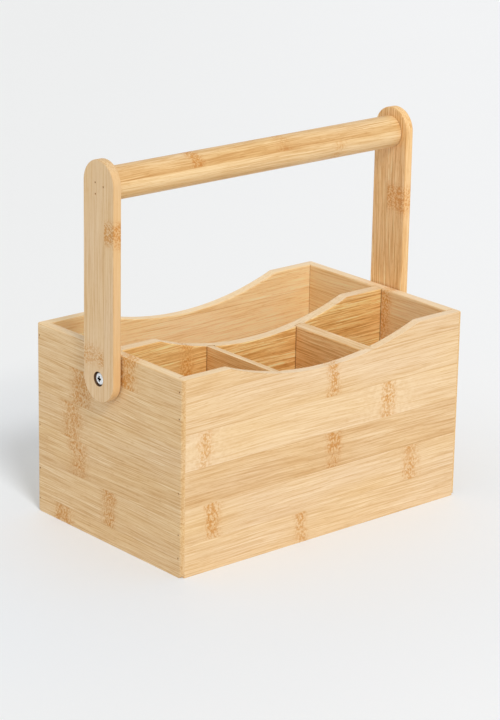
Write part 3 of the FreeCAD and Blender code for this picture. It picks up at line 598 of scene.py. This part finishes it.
def bamboo(name, along, across, first_seam, tones, knots, streaks=1.0, edge=0.3, rim=-0.33,
           rim_streaks=0.5, tint_with_painted_light=WHITE, rim_tint_with_painted_light=WHITE, dark_recess=None, meets=(), inner=1.0):
    """A bamboo finish: which way its grain and strips lie, each strip's tone, and its knots.

    A knot is (strip number, place along the grain, strength, spread), and the strength of the
    pale patch beside it, if any. A dark recess is a recess's place along and across the grain,
    and its radius; inside it the colour turns darker. The nodes that the board meets, cut off
    further out than inner, give painted shade in the upright corners between them. The tint
    and the rim tint are partly the board's own colour and partly painted light.
    """
    look = bpy.context.scene.bamboo_look
    material, w, shader = new_material("bamboo_" + name)
    turn = Matrix((along, across.cross(along), across)).to_euler()
    spot = w.add("TexCoord").outputs
    place = w.out("Mapping", spot["Object"], ORIGIN, turn)
    facing = w.out("Mapping", spot["Normal"], turn, vector_type="VECTOR")
    knot_mask = patch_mask = 0.0
    for strip, at, strength, spread, *patch in knots:
        knot_mask, patch_mask = w.group(
            bamboo_knot, Vector=place, Along=at, Spread=spread, Strength=strength,
            Across=first_seam + (strip + 0.5) * look.strip_width,
            Half_Strip=look.strip_width / 2, Patch=sum(patch), Knots_Before=knot_mask,
            Patches_Before=patch_mask)
    skin, rough, height = w.group(
        bamboo_grain, Vector=place, Facing=facing, Strip_Width=look.strip_width,
        First_Seam=first_seam, Streaks=streaks, Edge_Tone=edge, Rim_Tone=rim,
        Rim_Streaks=rim_streaks, Rim_Tint=rim_tint_with_painted_light, Knots=knot_mask, Patches=patch_mask,
        # the tint is partly the board's own colour and partly painted light
        Pale=[a * b for a, b in zip(look.pale, tint_with_painted_light)], Stain=look.stain, Knot=look.knot,
        Roughness=look.roughness,
        **{f"Tone {number}": tone for number, tone in enumerate(tones)})
    # the arm's screw recess and a thin rim round it turn darker
    if dark_recess:
        spots = w.axes(place)
        away = w.reach(spots[0], spots[2], dark_recess[:2])
        recess_darkened = w.ramp(away, dark_recess[2] - HAIR, dark_recess[2] + look.scorch_edge, 1.0, 0.0)
        skin = w.mix(recess_darkened, skin, look.scorched, "MULTIPLY")
    # painted shade in the upright corners where the board meets other boards
    corner_shade = 0.0
    for node in meets:
        low, high = (Vector(corner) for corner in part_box(node))
        low.x, high.x = max(low.x, -inner), min(high.x, inner)
        corner_shade = w.group(painted_corner_shade, Vector=spot["Object"], Middle=(low + high) / 2,
                      Half_Size=(high - low) / 2, Reach=look.contact_reach,
                      Contact_Before=corner_shade)[0]
    if meets:
        rise = w.math("ABSOLUTE", w.axes(spot["Normal"])[2])
        corner_shade = w.times(corner_shade, w.ramp(rise, 0.5, 0.8, look.contact, 0.0))
        skin = w.mix(corner_shade, skin, look.corner, "MULTIPLY")
    w.plug(shader, Base_Color=skin, Roughness=rough, Normal=w.bump(*GRAIN_RELIEF, height))
    return material


# ---- steel

SCRATCHES, STAINS, TURNING = (900, 5200, 900), (700, 700, 700), (2600, 2600, 2600)
STAINED = 0.55  # what a stain leaves of the colour
STEEL_RELIEF = (0.25, 0.00004)
# painted shade in a cross recess fades out between these depths under the crown
RECESS_SHADE_TOP = (0.0004, 0.0001)  # how far under the crown a recess's darkness fades out


def steel(name, paint, roughness, rings, pits, recess=None):
    """A steel finish: fine turning rings round the pivot, and small pits and stains.

    A recess is its middle across the pivot, its radius, and how far out its floor and top are; it
    is darkened with painted shade.
    """
    material, w, shader = new_material(name)
    place = w.add("TexCoord").outputs["Object"]
    scratch = w.noise(place, SCRATCHES, 2.0)
    stain = w.noise(place, STAINS, 3.0, 0.6)
    turning = w.noise(place, TURNING)
    steel_colour = w.mix(w.ramp(stain, 0.35, 0.7, 0.0, pits), paint, [part * STAINED for part in paint])
    if recess:
        centre, radius, floor, top = recess
        spots = w.axes(place)
        out = w.math("ABSOLUTE", spots[0])
        # painted shade: the cross recess is darkened where it lies under the crown
        dark = w.ramp(w.reach(spots[1], spots[2], centre), radius, radius + HAIR, 1.0, 0.0)
        dark = w.times(dark, w.ramp(out, floor - 2 * HAIR, floor - HAIR))
        dark = w.times(dark, w.ramp(out, *(top - under for under in RECESS_SHADE_TOP), 1.0, 0.0))
        steel_colour = w.mix(dark, steel_colour, bpy.context.scene.metal_look.hollow, "MULTIPLY")
    height = w.total(0.0, (turning, 0.4), (scratch, rings))
    w.plug(shader, Base_Color=steel_colour, Metallic=1.0, Normal=w.bump(*STEEL_RELIEF, height),
           Roughness=w.total(roughness - 0.08, (scratch, 0.16), (stain, 0.12)))
    return material


def repaint(node, material):
    """Gives a CAD node that stays its finish."""
    for slot in NODES[node].material_slots:
        slot.material = material


# ---- boards with a scoop

def scoop(board, low, high, rim, drop=0.0):
    """Cuts a shallow arc out of a board's rim, lower than the walls' arc by a drop."""
    sizes = bpy.context.scene.board_sizes
    middle = rim - sizes.scoop_depth + sizes.scoop_radius - drop
    carve(board, rod((0, low.y - OVERRUN, middle), (0, high.y + OVERRUN, middle),
                     sizes.scoop_radius, SCOOP_SIDES))


def scooped_board(name, low, high):
    """A board on edge whose rim dips in one shallow arc between two level stretches."""
    sizes = bpy.context.scene.board_sizes
    board = blank(low, high, name)
    scoop(board, low, high, high.z)
    lowest = high.z - sizes.scoop_depth

    def scoop_corner(a, b):
        return lie_at(high.z, 2, a, b) and abs(a.x) < high.x - HAIR and abs(a.x - b.x) < HAIR

    def rim(a, b):
        return min(a.z, b.z) > lowest - HAIR and abs(a.y - b.y) < HAIR and abs(a.x - b.x) > HAIR

    def foot_and_ends(a, b):
        return max(a.z, b.z) < lowest or lie_at(high.x, 0, a, b) or lie_at(low.x, 0, a, b)

    round_edges(board, sizes.scoop_corner, scoop_corner)
    round_edges(board, sizes.rim_ease, rim)
    round_edges(board, sizes.joint_ease, foot_and_ends, 2)
    return board


def groove_for(node, depth_axis, board_face, into, play_axis):
    """Corners of the groove that holds a node's edge."""
    sizes = bpy.context.scene.board_sizes
    low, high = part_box(node)
    low[play_axis] -= sizes.groove_play / 2
    high[play_axis] += sizes.groove_play
    ends = sorted((board_face - into * OVERRUN, board_face + into * sizes.groove))
    low[depth_axis], high[depth_axis] = ends
    return low, high


def build_scooped(node, name, finish):
    """Builds one board, with its grooves, for a CAD node."""
    low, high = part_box(node)
    board = scooped_board(name, low, high)
    if node == "middle_divider":
        grooves = [groove_for(f"{side}_cross_divider", 1, low.y, 1, 0) for side in SIDES]
        carve(board, *(blank(*ends) for ends in grooves))
    else:
        groove_wall(board, node, low, high)
    hand_in(board, "box", finish, node)


def groove_wall(board, node, low, high):
    """Cuts a long wall's grooves, and the holes for the brads in its ends."""
    sizes = bpy.context.scene.board_sizes
    play = sizes.groove_play
    inner, into = (high.y, -1) if node == "front_panel" else (low.y, 1)
    bottom_low, bottom_high = groove_for("bottom_panel", 1, inner, into, 2)
    bottom_low.x, bottom_high.x = bottom_low.x - play, bottom_high.x + play
    bottom_low.z += play / 2
    carve(board, blank(bottom_low, bottom_high))
    for side in SIDES:
        if node == "front_panel":
            ends = groove_for(f"{side}_cross_divider", 1, inner, into, 0)
            ends[0].z, ends[1].z = bottom_high.z, high.z + OVERRUN
            carve(board, blank(*ends))
        carve(board, *brad_holes(f"{side}_wall_brads", sizes.brad_play, play, low.y, high.y))


class CADDY_OT_scooped_boards(bpy.types.Operator):
    """Builds the front wall, the back wall and the middle divider"""

    bl_idname = "caddy.scooped_boards"
    bl_label = "Scooped boards"

    def execute(self, context):
        build_scooped("front_panel", "front_wall", bamboo(
            "front_wall", X, Z, -0.0036, (0.13, 0.12, 0.34, 0.02, 0.10, 0.14),
            [(0, -0.022, 0.9, 0.0055), (1, -0.103, 1.1, 0.0065), (1, 0.0838, 1.0, 0.0075),
             (2, 0.0075, 1.15, 0.0065), (3, -0.1105, 0.8, 0.006, 0.9),
             (3, 0.0588, 1.1, 0.0065, 0.9), (4, 0.0063, 1.1, 0.006)], streaks=0.85))
        # the back wall's paler tones and tint are partly painted light on its inner face; its rim
        # tint holds that back on the rim
        build_scooped("back_panel", "back_wall", bamboo(
            "back_wall", X, Z, -0.0102, (-0.1, -0.05, -0.15, -0.05, -0.15, -0.1),
            [(0, 0.061, 0.9, 0.006, 0.4), (1, -0.034, 0.8, 0.007), (2, 0.092, 0.9, 0.006, 0.6),
             (2, -0.118, 0.9, 0.006), (3, 0.011, 0.8, 0.006), (4, -0.082, 0.8, 0.006, 0.5)],
            streaks=1.2, tint_with_painted_light=(1.12, 1.145, 1.065), rim_tint_with_painted_light=(0.89, 0.845, 0.83)))
        # the middle board's tint is partly painted light, held back on its rim by the rim tint;
        # it gets painted shade in its corners
        build_scooped("middle_divider", "middle_board", bamboo(
            "middle_divider", X, Z, 0.0048, (0.5, 0.4, 0.55, 0.45, 0.5, 0.4),
            [(1, 0.022, 0.8, 0.006), (2, 0.102, 0.8, 0.006, 0.4), (3, -0.020, 0.9, 0.006),
             (4, -0.0645, 0.9, 0.006, 0.2)],
            streaks=1.6, rim=-0.3, rim_streaks=0.25, tint_with_painted_light=(1.29, 1.28, 1.06),
            rim_tint_with_painted_light=(0.77, 0.79, 0.96), meets=("left_end_panel", "right_end_panel",
                                                "left_cross_divider", "right_cross_divider")))
        return {"FINISHED"}


# ---- the other boards

def rabbet_and_groove(wall, low, high, sizes):
    """Cuts the rabbets for the long walls and the grooves for bottom and middle divider."""
    for inner in (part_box("front_panel")[1].y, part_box("back_panel")[0].y):
        near, far = sorted((inner, math.copysign(high.y + OVERRUN, inner)))
        carve(wall, blank((low.x + sizes.corner_lip, near, low.z - OVERRUN),
                          (high.x + OVERRUN, far, high.z + OVERRUN)))
    floor = groove_for("bottom_panel", 0, high.x, -1, 2)
    floor[0].z += sizes.groove_play / 2
    carve(wall, blank(*floor))
    slot = groove_for("middle_divider", 0, high.x, -1, 1)
    slot[0].y -= sizes.groove_play / 2
    slot[0].z, slot[1].z = floor[1].z - sizes.groove_play / 2, high.z + OVERRUN
    carve(wall, blank(*slot))


def bore_end_wall(wall, low, high, sizes):
    """Cuts the sleeve nut's hole and recess, and the brads' holes."""
    handle = bpy.context.scene.handle_sizes
    nut_low, nut_high, pivot = left_pivot("sleeve")
    head = (nut_high.y - nut_low.y) / 2
    drill(wall, pivot, low.x - OVERRUN, high.x + OVERRUN, handle.sleeve_radius + sizes.nut_play)
    drill(wall, pivot, nut_high.x - handle.sleeve_head, high.x + OVERRUN, head + sizes.nut_play)
    carve(wall, *brad_holes("left_wall_brads", sizes.end_brad_play))


class CADDY_OT_end_walls(bpy.types.Operator):
    """Builds the two end walls"""

    bl_idname = "caddy.end_walls"
    bl_label = "End walls"

    def execute(self, context):
        sizes = context.scene.board_sizes
        low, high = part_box("left_end_panel")
        wall = blank(low, high, "left_end_wall")
        for side in (-1, 1):
            foot = Vector((0, side * (high.y - sizes.foot_round), low.z + sizes.foot_round))
            plane_corner(wall, foot, Y * side, -Z, sizes.foot_round)
            corner = Vector((low.x + sizes.corner_round, side * (high.y - sizes.corner_round), 0))
            plane_corner(wall, corner, Y * side, -X, sizes.corner_round)
        round_edges(wall, sizes.rim_ease, lambda a, b: lie_at(high.z, 2, a, b))
        round_edges(wall, sizes.joint_ease,
                    lambda a, b: max(a.z, b.z) < high.z - sizes.rim_ease, 2)
        rabbet_and_groove(wall, low, high, sizes)
        bore_end_wall(wall, low, high, sizes)
        # the end walls get painted shade in their inner corners; the right wall's tint below is
        # partly painted light
        common = {"meets": ("front_panel", "back_panel", "middle_divider"), "inner": -high.x}
        left = bamboo(
            "left_end", Y, Z, -0.0137, (0.15, 0.12, 0.22, 0.14, 0.12, 0.08),
            [(0, 0.0513, 1.5, 0.010), (1, -0.0012, 1.1, 0.008), (2, 0.0338, 1.1, 0.010, 0.2),
             (3, 0.0413, 1.5, 0.010), (4, 0.0297, 1.6, 0.011), (5, -0.0212, 1.6, 0.010)],
            streaks=1.2, tint_with_painted_light=(0.975, 0.96, 0.895), **common)
        right = bamboo(
            "right_end", Y, Z, -0.0092, (-0.05, 0.05, -0.15, -0.05, -0.2, -0.2),
            [(0, -0.047, 0.9, 0.007), (1, 0.061, 0.8, 0.007, 0.4), (2, 0.006, 0.9, 0.006),
             (3, -0.066, 0.8, 0.007), (3, 0.071, 0.8, 0.006, 0.3), (4, -0.0102, 0.9, 0.005),
             (5, -0.0108, 0.9, 0.005)],
            streaks=1.3, tint_with_painted_light=(1.07, 1.05, 0.94), rim_tint_with_painted_light=(0.92, 0.91, 0.97), **common)
        hand_in_pair(wall, "box", (left, right), "end_panel")
        return {"FINISHED"}


class CADDY_OT_cross_dividers(bpy.types.Operator):
    """Builds the two cross dividers and finishes the bottom"""

    bl_idname = "caddy.cross_dividers"
    bl_label = "Cross dividers and bottom"

    def execute(self, context):
        sizes = context.scene.board_sizes
        low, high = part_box("left_cross_divider")
        board = blank(low, high + Z * OVERRUN, "left_cross_board")
        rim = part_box("front_panel")[1].z
        lowest = rim - sizes.scoop_depth
        scoop(board, low, high, rim, sizes.cross_drop)
        round_edges(board, sizes.rim_ease, lambda a, b: min(a.z, b.z) > lowest - HAIR
                    and abs(a.x - b.x) < HAIR and abs(a.y - b.y) > HAIR)
        round_edges(board, sizes.joint_ease,
                    lambda a, b: min(a.z, b.z) < lowest - sizes.rim_ease, 2)
        # the cross dividers' tint is partly painted light, held back on their rims by the rim
        # tint; they get painted shade in their corners
        common = {"streaks": 1.4, "rim": -0.3, "tint_with_painted_light": (1.2, 1.18, 1.06),
                  "rim_tint_with_painted_light": (0.84, 0.85, 0.93), "meets": ("front_panel", "middle_divider")}
        left = bamboo("left_cross", Y, Z, 0.0021, (0.3, 0.4, 0.25, 0.35, 0.3, 0.25),
                      [(1, -0.030, 0.8, 0.006, 0.3), (3, -0.066, 0.8, 0.006)], **common)
        right = bamboo("right_cross", Y, Z, -0.0064, (0.35, 0.25, 0.45, 0.35, 0.4, 0.45),
                       [(2, -0.059, 0.8, 0.006)], **common)
        hand_in_pair(board, "box", (left, right), "cross_divider")
        # the bottom's paler tones are partly painted light inside the shaded box
        repaint("bottom_panel", bamboo(
            "bottom", X, Y, -0.0820, (-0.05, 0.1, -0.1, 0.05, -0.08, 0.0),
            [(0, 0.07, 0.8, 0.006, 0.3), (1, -0.05, 0.9, 0.006), (2, 0.03, 0.8, 0.006, 0.5),
             (3, -0.09, 0.8, 0.007), (4, 0.088, 0.9, 0.006), (5, -0.012, 0.8, 0.006)]))
        return {"FINISHED"}


# ---- handle

def stretch(arm, middle, by):
    """Moves the upper half of a short round blank up, which leaves a bar with round ends."""
    with editing(arm, "VERT") as mesh:
        for corner in mesh.verts:
            corner.select_set(corner.co.z > middle)
        mesh.select_flush(True)
        bmesh.update_edit_mesh(arm.data)
        bpy.ops.transform.translate(value=(0, 0, by))


class CADDY_OT_arms(bpy.types.Operator):
    """Builds the two arms of the handle"""

    bl_idname = "caddy.arms"
    bl_label = "Arms"

    def execute(self, context):
        sizes = context.scene.handle_sizes
        low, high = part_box("left_handle_arm")
        radius = (high.y - low.y) / 2
        foot = low.z + radius
        arm = rod((low.x, 0, foot), (high.x, 0, foot), radius, BAR_SIDES, "left_arm",
                  math.pi / BAR_SIDES)
        stretch(arm, foot, high.z - low.z - 2 * radius)
        round_edges(arm, sizes.arm_ease, lambda a, b: abs(a.x - b.x) < HAIR, 4)
        pivot = left_pivot("screw")[2]
        drill(arm, pivot, low.x - OVERRUN, high.x + OVERRUN, sizes.bore_radius)
        drill(arm, pivot, low.x - OVERRUN, low.x + sizes.recess_depth, sizes.recess_radius)
        carve(arm, *brad_holes("left_grip_brads", context.scene.board_sizes.brad_play))
        dark_recess = (pivot.z, pivot.y, sizes.recess_radius)
        left = bamboo("left_arm", Z, Y, -0.0327, (0.24, 0.18),
                      [(0, 0.228, 1.6, 0.0075), (1, 0.139, 1.0, 0.0065)], streaks=0.7, rim=0.3,
                      rim_streaks=0.3, tint_with_painted_light=(0.99, 1.01, 1.04), rim_tint_with_painted_light=(1.04, 0.99, 0.90),
                      dark_recess=dark_recess)
        # the right arm's tint is partly painted light on its inner face
        right = bamboo("right_arm", Z, Y, -0.0252, (0.34, 0.30), [(0, 0.210, 1.5, 0.009)],
                       streaks=1.6, rim=0.2, tint_with_painted_light=(1.18, 1.14, 1.04), dark_recess=dark_recess)
        hand_in_pair(arm, "handle", (left, right), "handle_arm")
        return {"FINISHED"}


GRIP_SEAM = 0.2631  # height of the seam between the grip bar's strips


class CADDY_OT_grip(bpy.types.Operator):
    """Builds the round grip bar"""

    bl_idname = "caddy.grip"
    bl_label = "Grip bar"

    def execute(self, context):
        sizes = context.scene.handle_sizes
        low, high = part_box("handle_grip")
        middle = (low + high) / 2
        bar = rod((low.x, middle.y, middle.z), (high.x, middle.y, middle.z),
                  (high.z - low.z) / 2, BAR_SIDES, "grip_bar")
        round_edges(bar, sizes.grip_ease, lambda a, b: abs(a.x - b.x) < HAIR)
        for side in SIDES:
            carve(bar, *brad_holes(f"{side}_grip_brads", context.scene.board_sizes.brad_play))
        # the grip gets painted shade at its ends, where it meets the arms
        hand_in(bar, "handle", bamboo(
            "grip", X, Z, GRIP_SEAM - context.scene.bamboo_look.strip_width, (-0.03, 0.42),
            [(1, -0.060, 1.2, 0.0055), (1, 0.0185, 0.6, 0.006), (0, 0.0700, 0.7, 0.005)],
            streaks=1.2, edge=0.0, rim=-0.25, rim_streaks=0.8, tint_with_painted_light=(1.0, 0.96, 0.84),
            meets=("left_handle_arm", "right_handle_arm")), "handle_grip")
        return {"FINISHED"}


# ---- pivots and brads

# a screw's head from under its rim to its crown: share of the height, share of the radius
PAN_HEAD = ((0.0, 1.0), (0.42, 1.0), (0.60, 0.975), (0.76, 0.91), (0.88, 0.80), (0.96, 0.66),
            (1.0, 0.50))
TIP_EASE = 0.28  # share of a shank's radius that its tip loses
CROSS_TAPER, SPAN_TAPER = 0.7, 0.55  # what is left of a cross recess's sizes at its floor


def turned(name, start, out, section):
    """A part turned on a lathe: from a disc, drawn out and opened or closed step by step."""
    deselect()
    first, radius = section[0]
    bpy.ops.mesh.primitive_circle_add(vertices=BORE_SIDES, radius=radius, fill_type="NGON",
                                      location=start + out * first,
                                      rotation=(0, math.pi / 2, 0))
    part = settle(name)
    with editing(part, "FACE", "SELECT"):
        at = first
        for along, wide in section[1:]:
            bpy.ops.mesh.extrude_region_move(
                TRANSFORM_OT_translate={"value": out * (along - at)})
            swell = wide / radius
            bpy.ops.transform.resize(value=(1, swell, swell), center_override=start + out * along)
            at, radius = along, wide
        face_outwards()
    return part


def turn_screw(sizes):
    """A pan head with a cross recess on a short shank."""
    low, high, pivot = left_pivot("screw")
    crown, radius = -low.x, (high.z - low.z) / 2
    under = crown - sizes.screw_head
    tip, shank = -high.x, sizes.screw_shank
    section = [(tip, shank * (1 - TIP_EASE)), (tip + shank * TIP_EASE, shank), (under, shank)]
    section += [(under + sizes.screw_head * rise, radius * wide) for rise, wide in PAN_HEAD]
    screw = turned("left_screw_piece", pivot, -X, section)
    for axis in (1, 2):
        carve(screw, cross_cutter(sizes, pivot, crown, axis))
    return screw


def cross_cutter(sizes, pivot, crown, axis):
    """A cutter for one bar of the cross recess, narrower at its floor."""
    half = Vector((sizes.cross_depth, sizes.cross_blade / 2, sizes.cross_blade / 2))
    half[axis] = sizes.cross_span / 2
    top = pivot - X * crown
    cutter = blank(top - half, top + half)
    with editing(cutter, "FACE") as mesh:
        for face in mesh.faces:
            face.select_set(face.normal.x > 0.9)
        bmesh.update_edit_mesh(cutter.data)
        narrow = [1.0, CROSS_TAPER, CROSS_TAPER]
        narrow[axis] = SPAN_TAPER
        bpy.ops.transform.resize(value=narrow, center_override=top)
    return cutter


def turn_sleeve(sizes):
    """A blind barrel with a flat slotted head."""
    low, high, pivot = left_pivot("sleeve")
    head, crown, tip = (high.z - low.z) / 2, -high.x, -low.x
    seat = crown + sizes.sleeve_head
    ease, barrel = sizes.sleeve_ease, sizes.sleeve_radius
    nut = turned("left_sleeve_piece", pivot, -X, [
        (crown, head - ease), (crown + ease, head), (seat, head), (seat, barrel),
        (tip - sizes.tip_ease, barrel), (tip, barrel - sizes.tip_ease)])
    screw_tip = left_pivot("screw")[1].x
    drill(nut, pivot, low.x - OVERRUN, screw_tip + ease, sizes.screw_shank + sizes.shank_play,
          SHANK_SIDES)
    slot = Vector((0, head + OVERRUN, sizes.slot_width / 2))
    carve(nut, blank(pivot + X * (high.x - sizes.slot_depth) - slot,
                     pivot + X * (high.x + OVERRUN) + slot))
    return nut


def turn_washer(sizes):
    """A flat ring with eased edges."""
    low, high, pivot = left_pivot("washer")
    wide, ease = (high.z - low.z) / 2, sizes.washer_ease
    inner, outer = -high.x, -low.x
    ring = turned("left_washer_piece", pivot, -X, [
        (inner, wide - ease), (inner + ease, wide), (outer - ease, wide),
        (outer, wide - ease)])
    drill(ring, pivot, low.x - OVERRUN, high.x + OVERRUN, sizes.bore_radius)
    return ring


class CADDY_OT_pivots(bpy.types.Operator):
    """Builds the pivot screws, sleeve nuts and spacer washers"""

    bl_idname = "caddy.pivots"
    bl_label = "Pivots"

    def execute(self, context):
        sizes = context.scene.handle_sizes
        low, high, pivot = left_pivot("screw")
        # the cross recess, which the bright steel darkens with painted shade
        recess = (pivot.yz, sizes.cross_span / 2, -low.x - sizes.cross_depth, -low.x)
        finish = steel("steel_bright", context.scene.metal_look.bright, 0.30, 0.5, 0.35, recess)
        for piece, kind in ((turn_screw(sizes), "screw"), (turn_sleeve(sizes), "sleeve"),
                            (turn_washer(sizes), "washer")):
            hand_in_pair(piece, "box", (finish, finish), f"pivot_{kind}")
        return {"FINISHED"}


class CADDY_OT_brads(bpy.types.Operator):
    """Finishes the brads"""

    bl_idname = "caddy.brads"
    bl_label = "Brads"

    def execute(self, context):
        finish = steel("steel_dark", context.scene.metal_look.dark, 0.5, 0.2, 0.8)
        for side in SIDES:
            repaint(f"{side}_wall_brads", finish)
            repaint(f"{side}_grip_brads", finish)
        return {"FINISHED"}


# ---- stage

CAMERA_PLACE = Vector((-1.1760, -1.3618, 0.7027))
CAMERA_TURNS = ((-40.79, "Z"), (71.75, "X"), (1.05, "Z"))
CAMERA_LENS = 131.595
KEY_TURN = (math.radians(47), 0, math.radians(-18.7))
SOFTNESS = math.radians(16)
FLOOR_SPAN = 60
LIT_SIDE = (0.757, -0.653, 0.0)  # the way in which the floor gets lighter
HALF_FADE = 0.35  # how far from the middle it is as light as it gets
# middle and reach of the painted shade on the floor round the caddy
NEAR_SHADE_MIDDLE = (-0.08, 0.03, 0.0)
NEAR_SHADE_REACH = (0.15, 0.45)
CLOUDS, CLOUD_GREY = (3, 3, 3), (0.7, 0.7, 0.7)


def set_camera(scene):
    """A long lens on the caddy's front left."""
    bpy.ops.object.camera_add()
    camera = bpy.context.active_object
    stand = Matrix.Translation(CAMERA_PLACE)
    for angle, axis in CAMERA_TURNS:
        stand = stand @ Matrix.Rotation(math.radians(angle), 4, axis)
    camera.matrix_world = stand
    camera.data.lens = CAMERA_LENS
    camera.data.clip_end = 2 * FLOOR_SPAN
    scene.camera = camera


def lay_floor(look):
    """A wide plain floor, a little darker on the side away from the light, with painted shade
    round the caddy.
    """
    deselect()
    bpy.ops.mesh.primitive_plane_add(size=FLOOR_SPAN)
    floor = settle("floor")
    material, w, shader = new_material("plain_floor")
    place = w.add("TexCoord").outputs["Object"]
    side = w.ramp(w.vector("DOT_PRODUCT", place, LIT_SIDE), -HALF_FADE, HALF_FADE)
    paint = w.mix(side, look.floor_shade, look.floor)
    # painted shade: the floor turns darker and bluer round the caddy
    near = w.ramp(w.vector("DISTANCE", place, NEAR_SHADE_MIDDLE), *NEAR_SHADE_REACH, 1.0, 0.0)
    paint = w.mix(near, paint, look.floor_near)
    cloud = w.noise(place, CLOUDS, 3.0)
    paint = w.mix(w.ramp(cloud, 0.3, 0.7, 0.0, 0.04), paint, CLOUD_GREY)
    seen = w.add("LightPath").outputs
    seen = w.math("MAXIMUM", seen["Is Camera Ray"], seen["Is Glossy Ray"])
    w.plug(shader, Base_Color=paint, Roughness=w.total(0.5, (cloud, 0.2)),
           Emission_Color=WHITE, Emission_Strength=w.times(seen, look.glow))
    floor.data.materials.append(material)


class CADDY_OT_stage(bpy.types.Operator):
    """Lays the floor, hangs the lights and sets up the camera"""

    bl_idname = "caddy.stage"
    bl_label = "Stage"

    def execute(self, context):
        look = context.scene.studio_look
        lay_floor(look)
        bpy.ops.object.light_add(type="SUN", location=(0, 0, 2), rotation=KEY_TURN)
        lamp = context.active_object
        lamp.name = "key_light"
        lamp.data.energy, lamp.data.angle = look.key, SOFTNESS
        world = bpy.data.worlds.new("soft_studio")
        context.scene.world = world
        world.use_nodes = True
        w = Wiring(world.node_tree)
        around = next(n for n in w.tree.nodes if n.type == "BACKGROUND")
        seen = w.add("LightPath").outputs["Is Camera Ray"]
        w.plug(around, Color=WHITE, Strength=w.total(look.sky, (seen, look.backdrop - look.sky)))
        set_camera(context.scene)
        context.scene.view_settings.view_transform = "Standard"
        return {"FINISHED"}


# ---- add-on

STEPS = [CADDY_OT_scooped_boards, CADDY_OT_end_walls, CADDY_OT_cross_dividers, CADDY_OT_arms,
         CADDY_OT_grip, CADDY_OT_pivots, CADDY_OT_brads, CADDY_OT_stage]
SETTINGS = {"board_sizes": BoardSizes, "handle_sizes": HandleSizes, "bamboo_look": BambooLook,
            "metal_look": MetalLook, "studio_look": StudioLook}


class CADDY_PT_workshop(bpy.types.Panel):
    """Sizes, colours and steps of the caddy"""

    bl_idname = "CADDY_PT_workshop"
    bl_label = "Utensil caddy"
    bl_space_type = "VIEW_3D"
    bl_region_type = "UI"
    bl_category = "Caddy"

    def draw(self, context):
        for name, kind in SETTINGS.items():
            box = self.layout.box()
            box.label(text=kind.__doc__)
            for field in kind.__annotations__:
                box.prop(getattr(context.scene, name), field)
        for step in STEPS:
            self.layout.operator(step.bl_idname)


def register():
    for kind in (*SETTINGS.values(), *STEPS, CADDY_PT_workshop):
        bpy.utils.register_class(kind)
    for name, kind in SETTINGS.items():
        setattr(bpy.types.Scene, name, PointerProperty(type=kind))


def unregister():
    for name in SETTINGS:
        delattr(bpy.types.Scene, name)
    for kind in reversed((*SETTINGS.values(), *STEPS, CADDY_PT_workshop)):
        bpy.utils.unregister_class(kind)


def main():
    register()
    for step in STEPS:
        area, name = step.bl_idname.split(".")
        getattr(getattr(bpy.ops, area), name)()


if __name__ == "__main__":
    main()
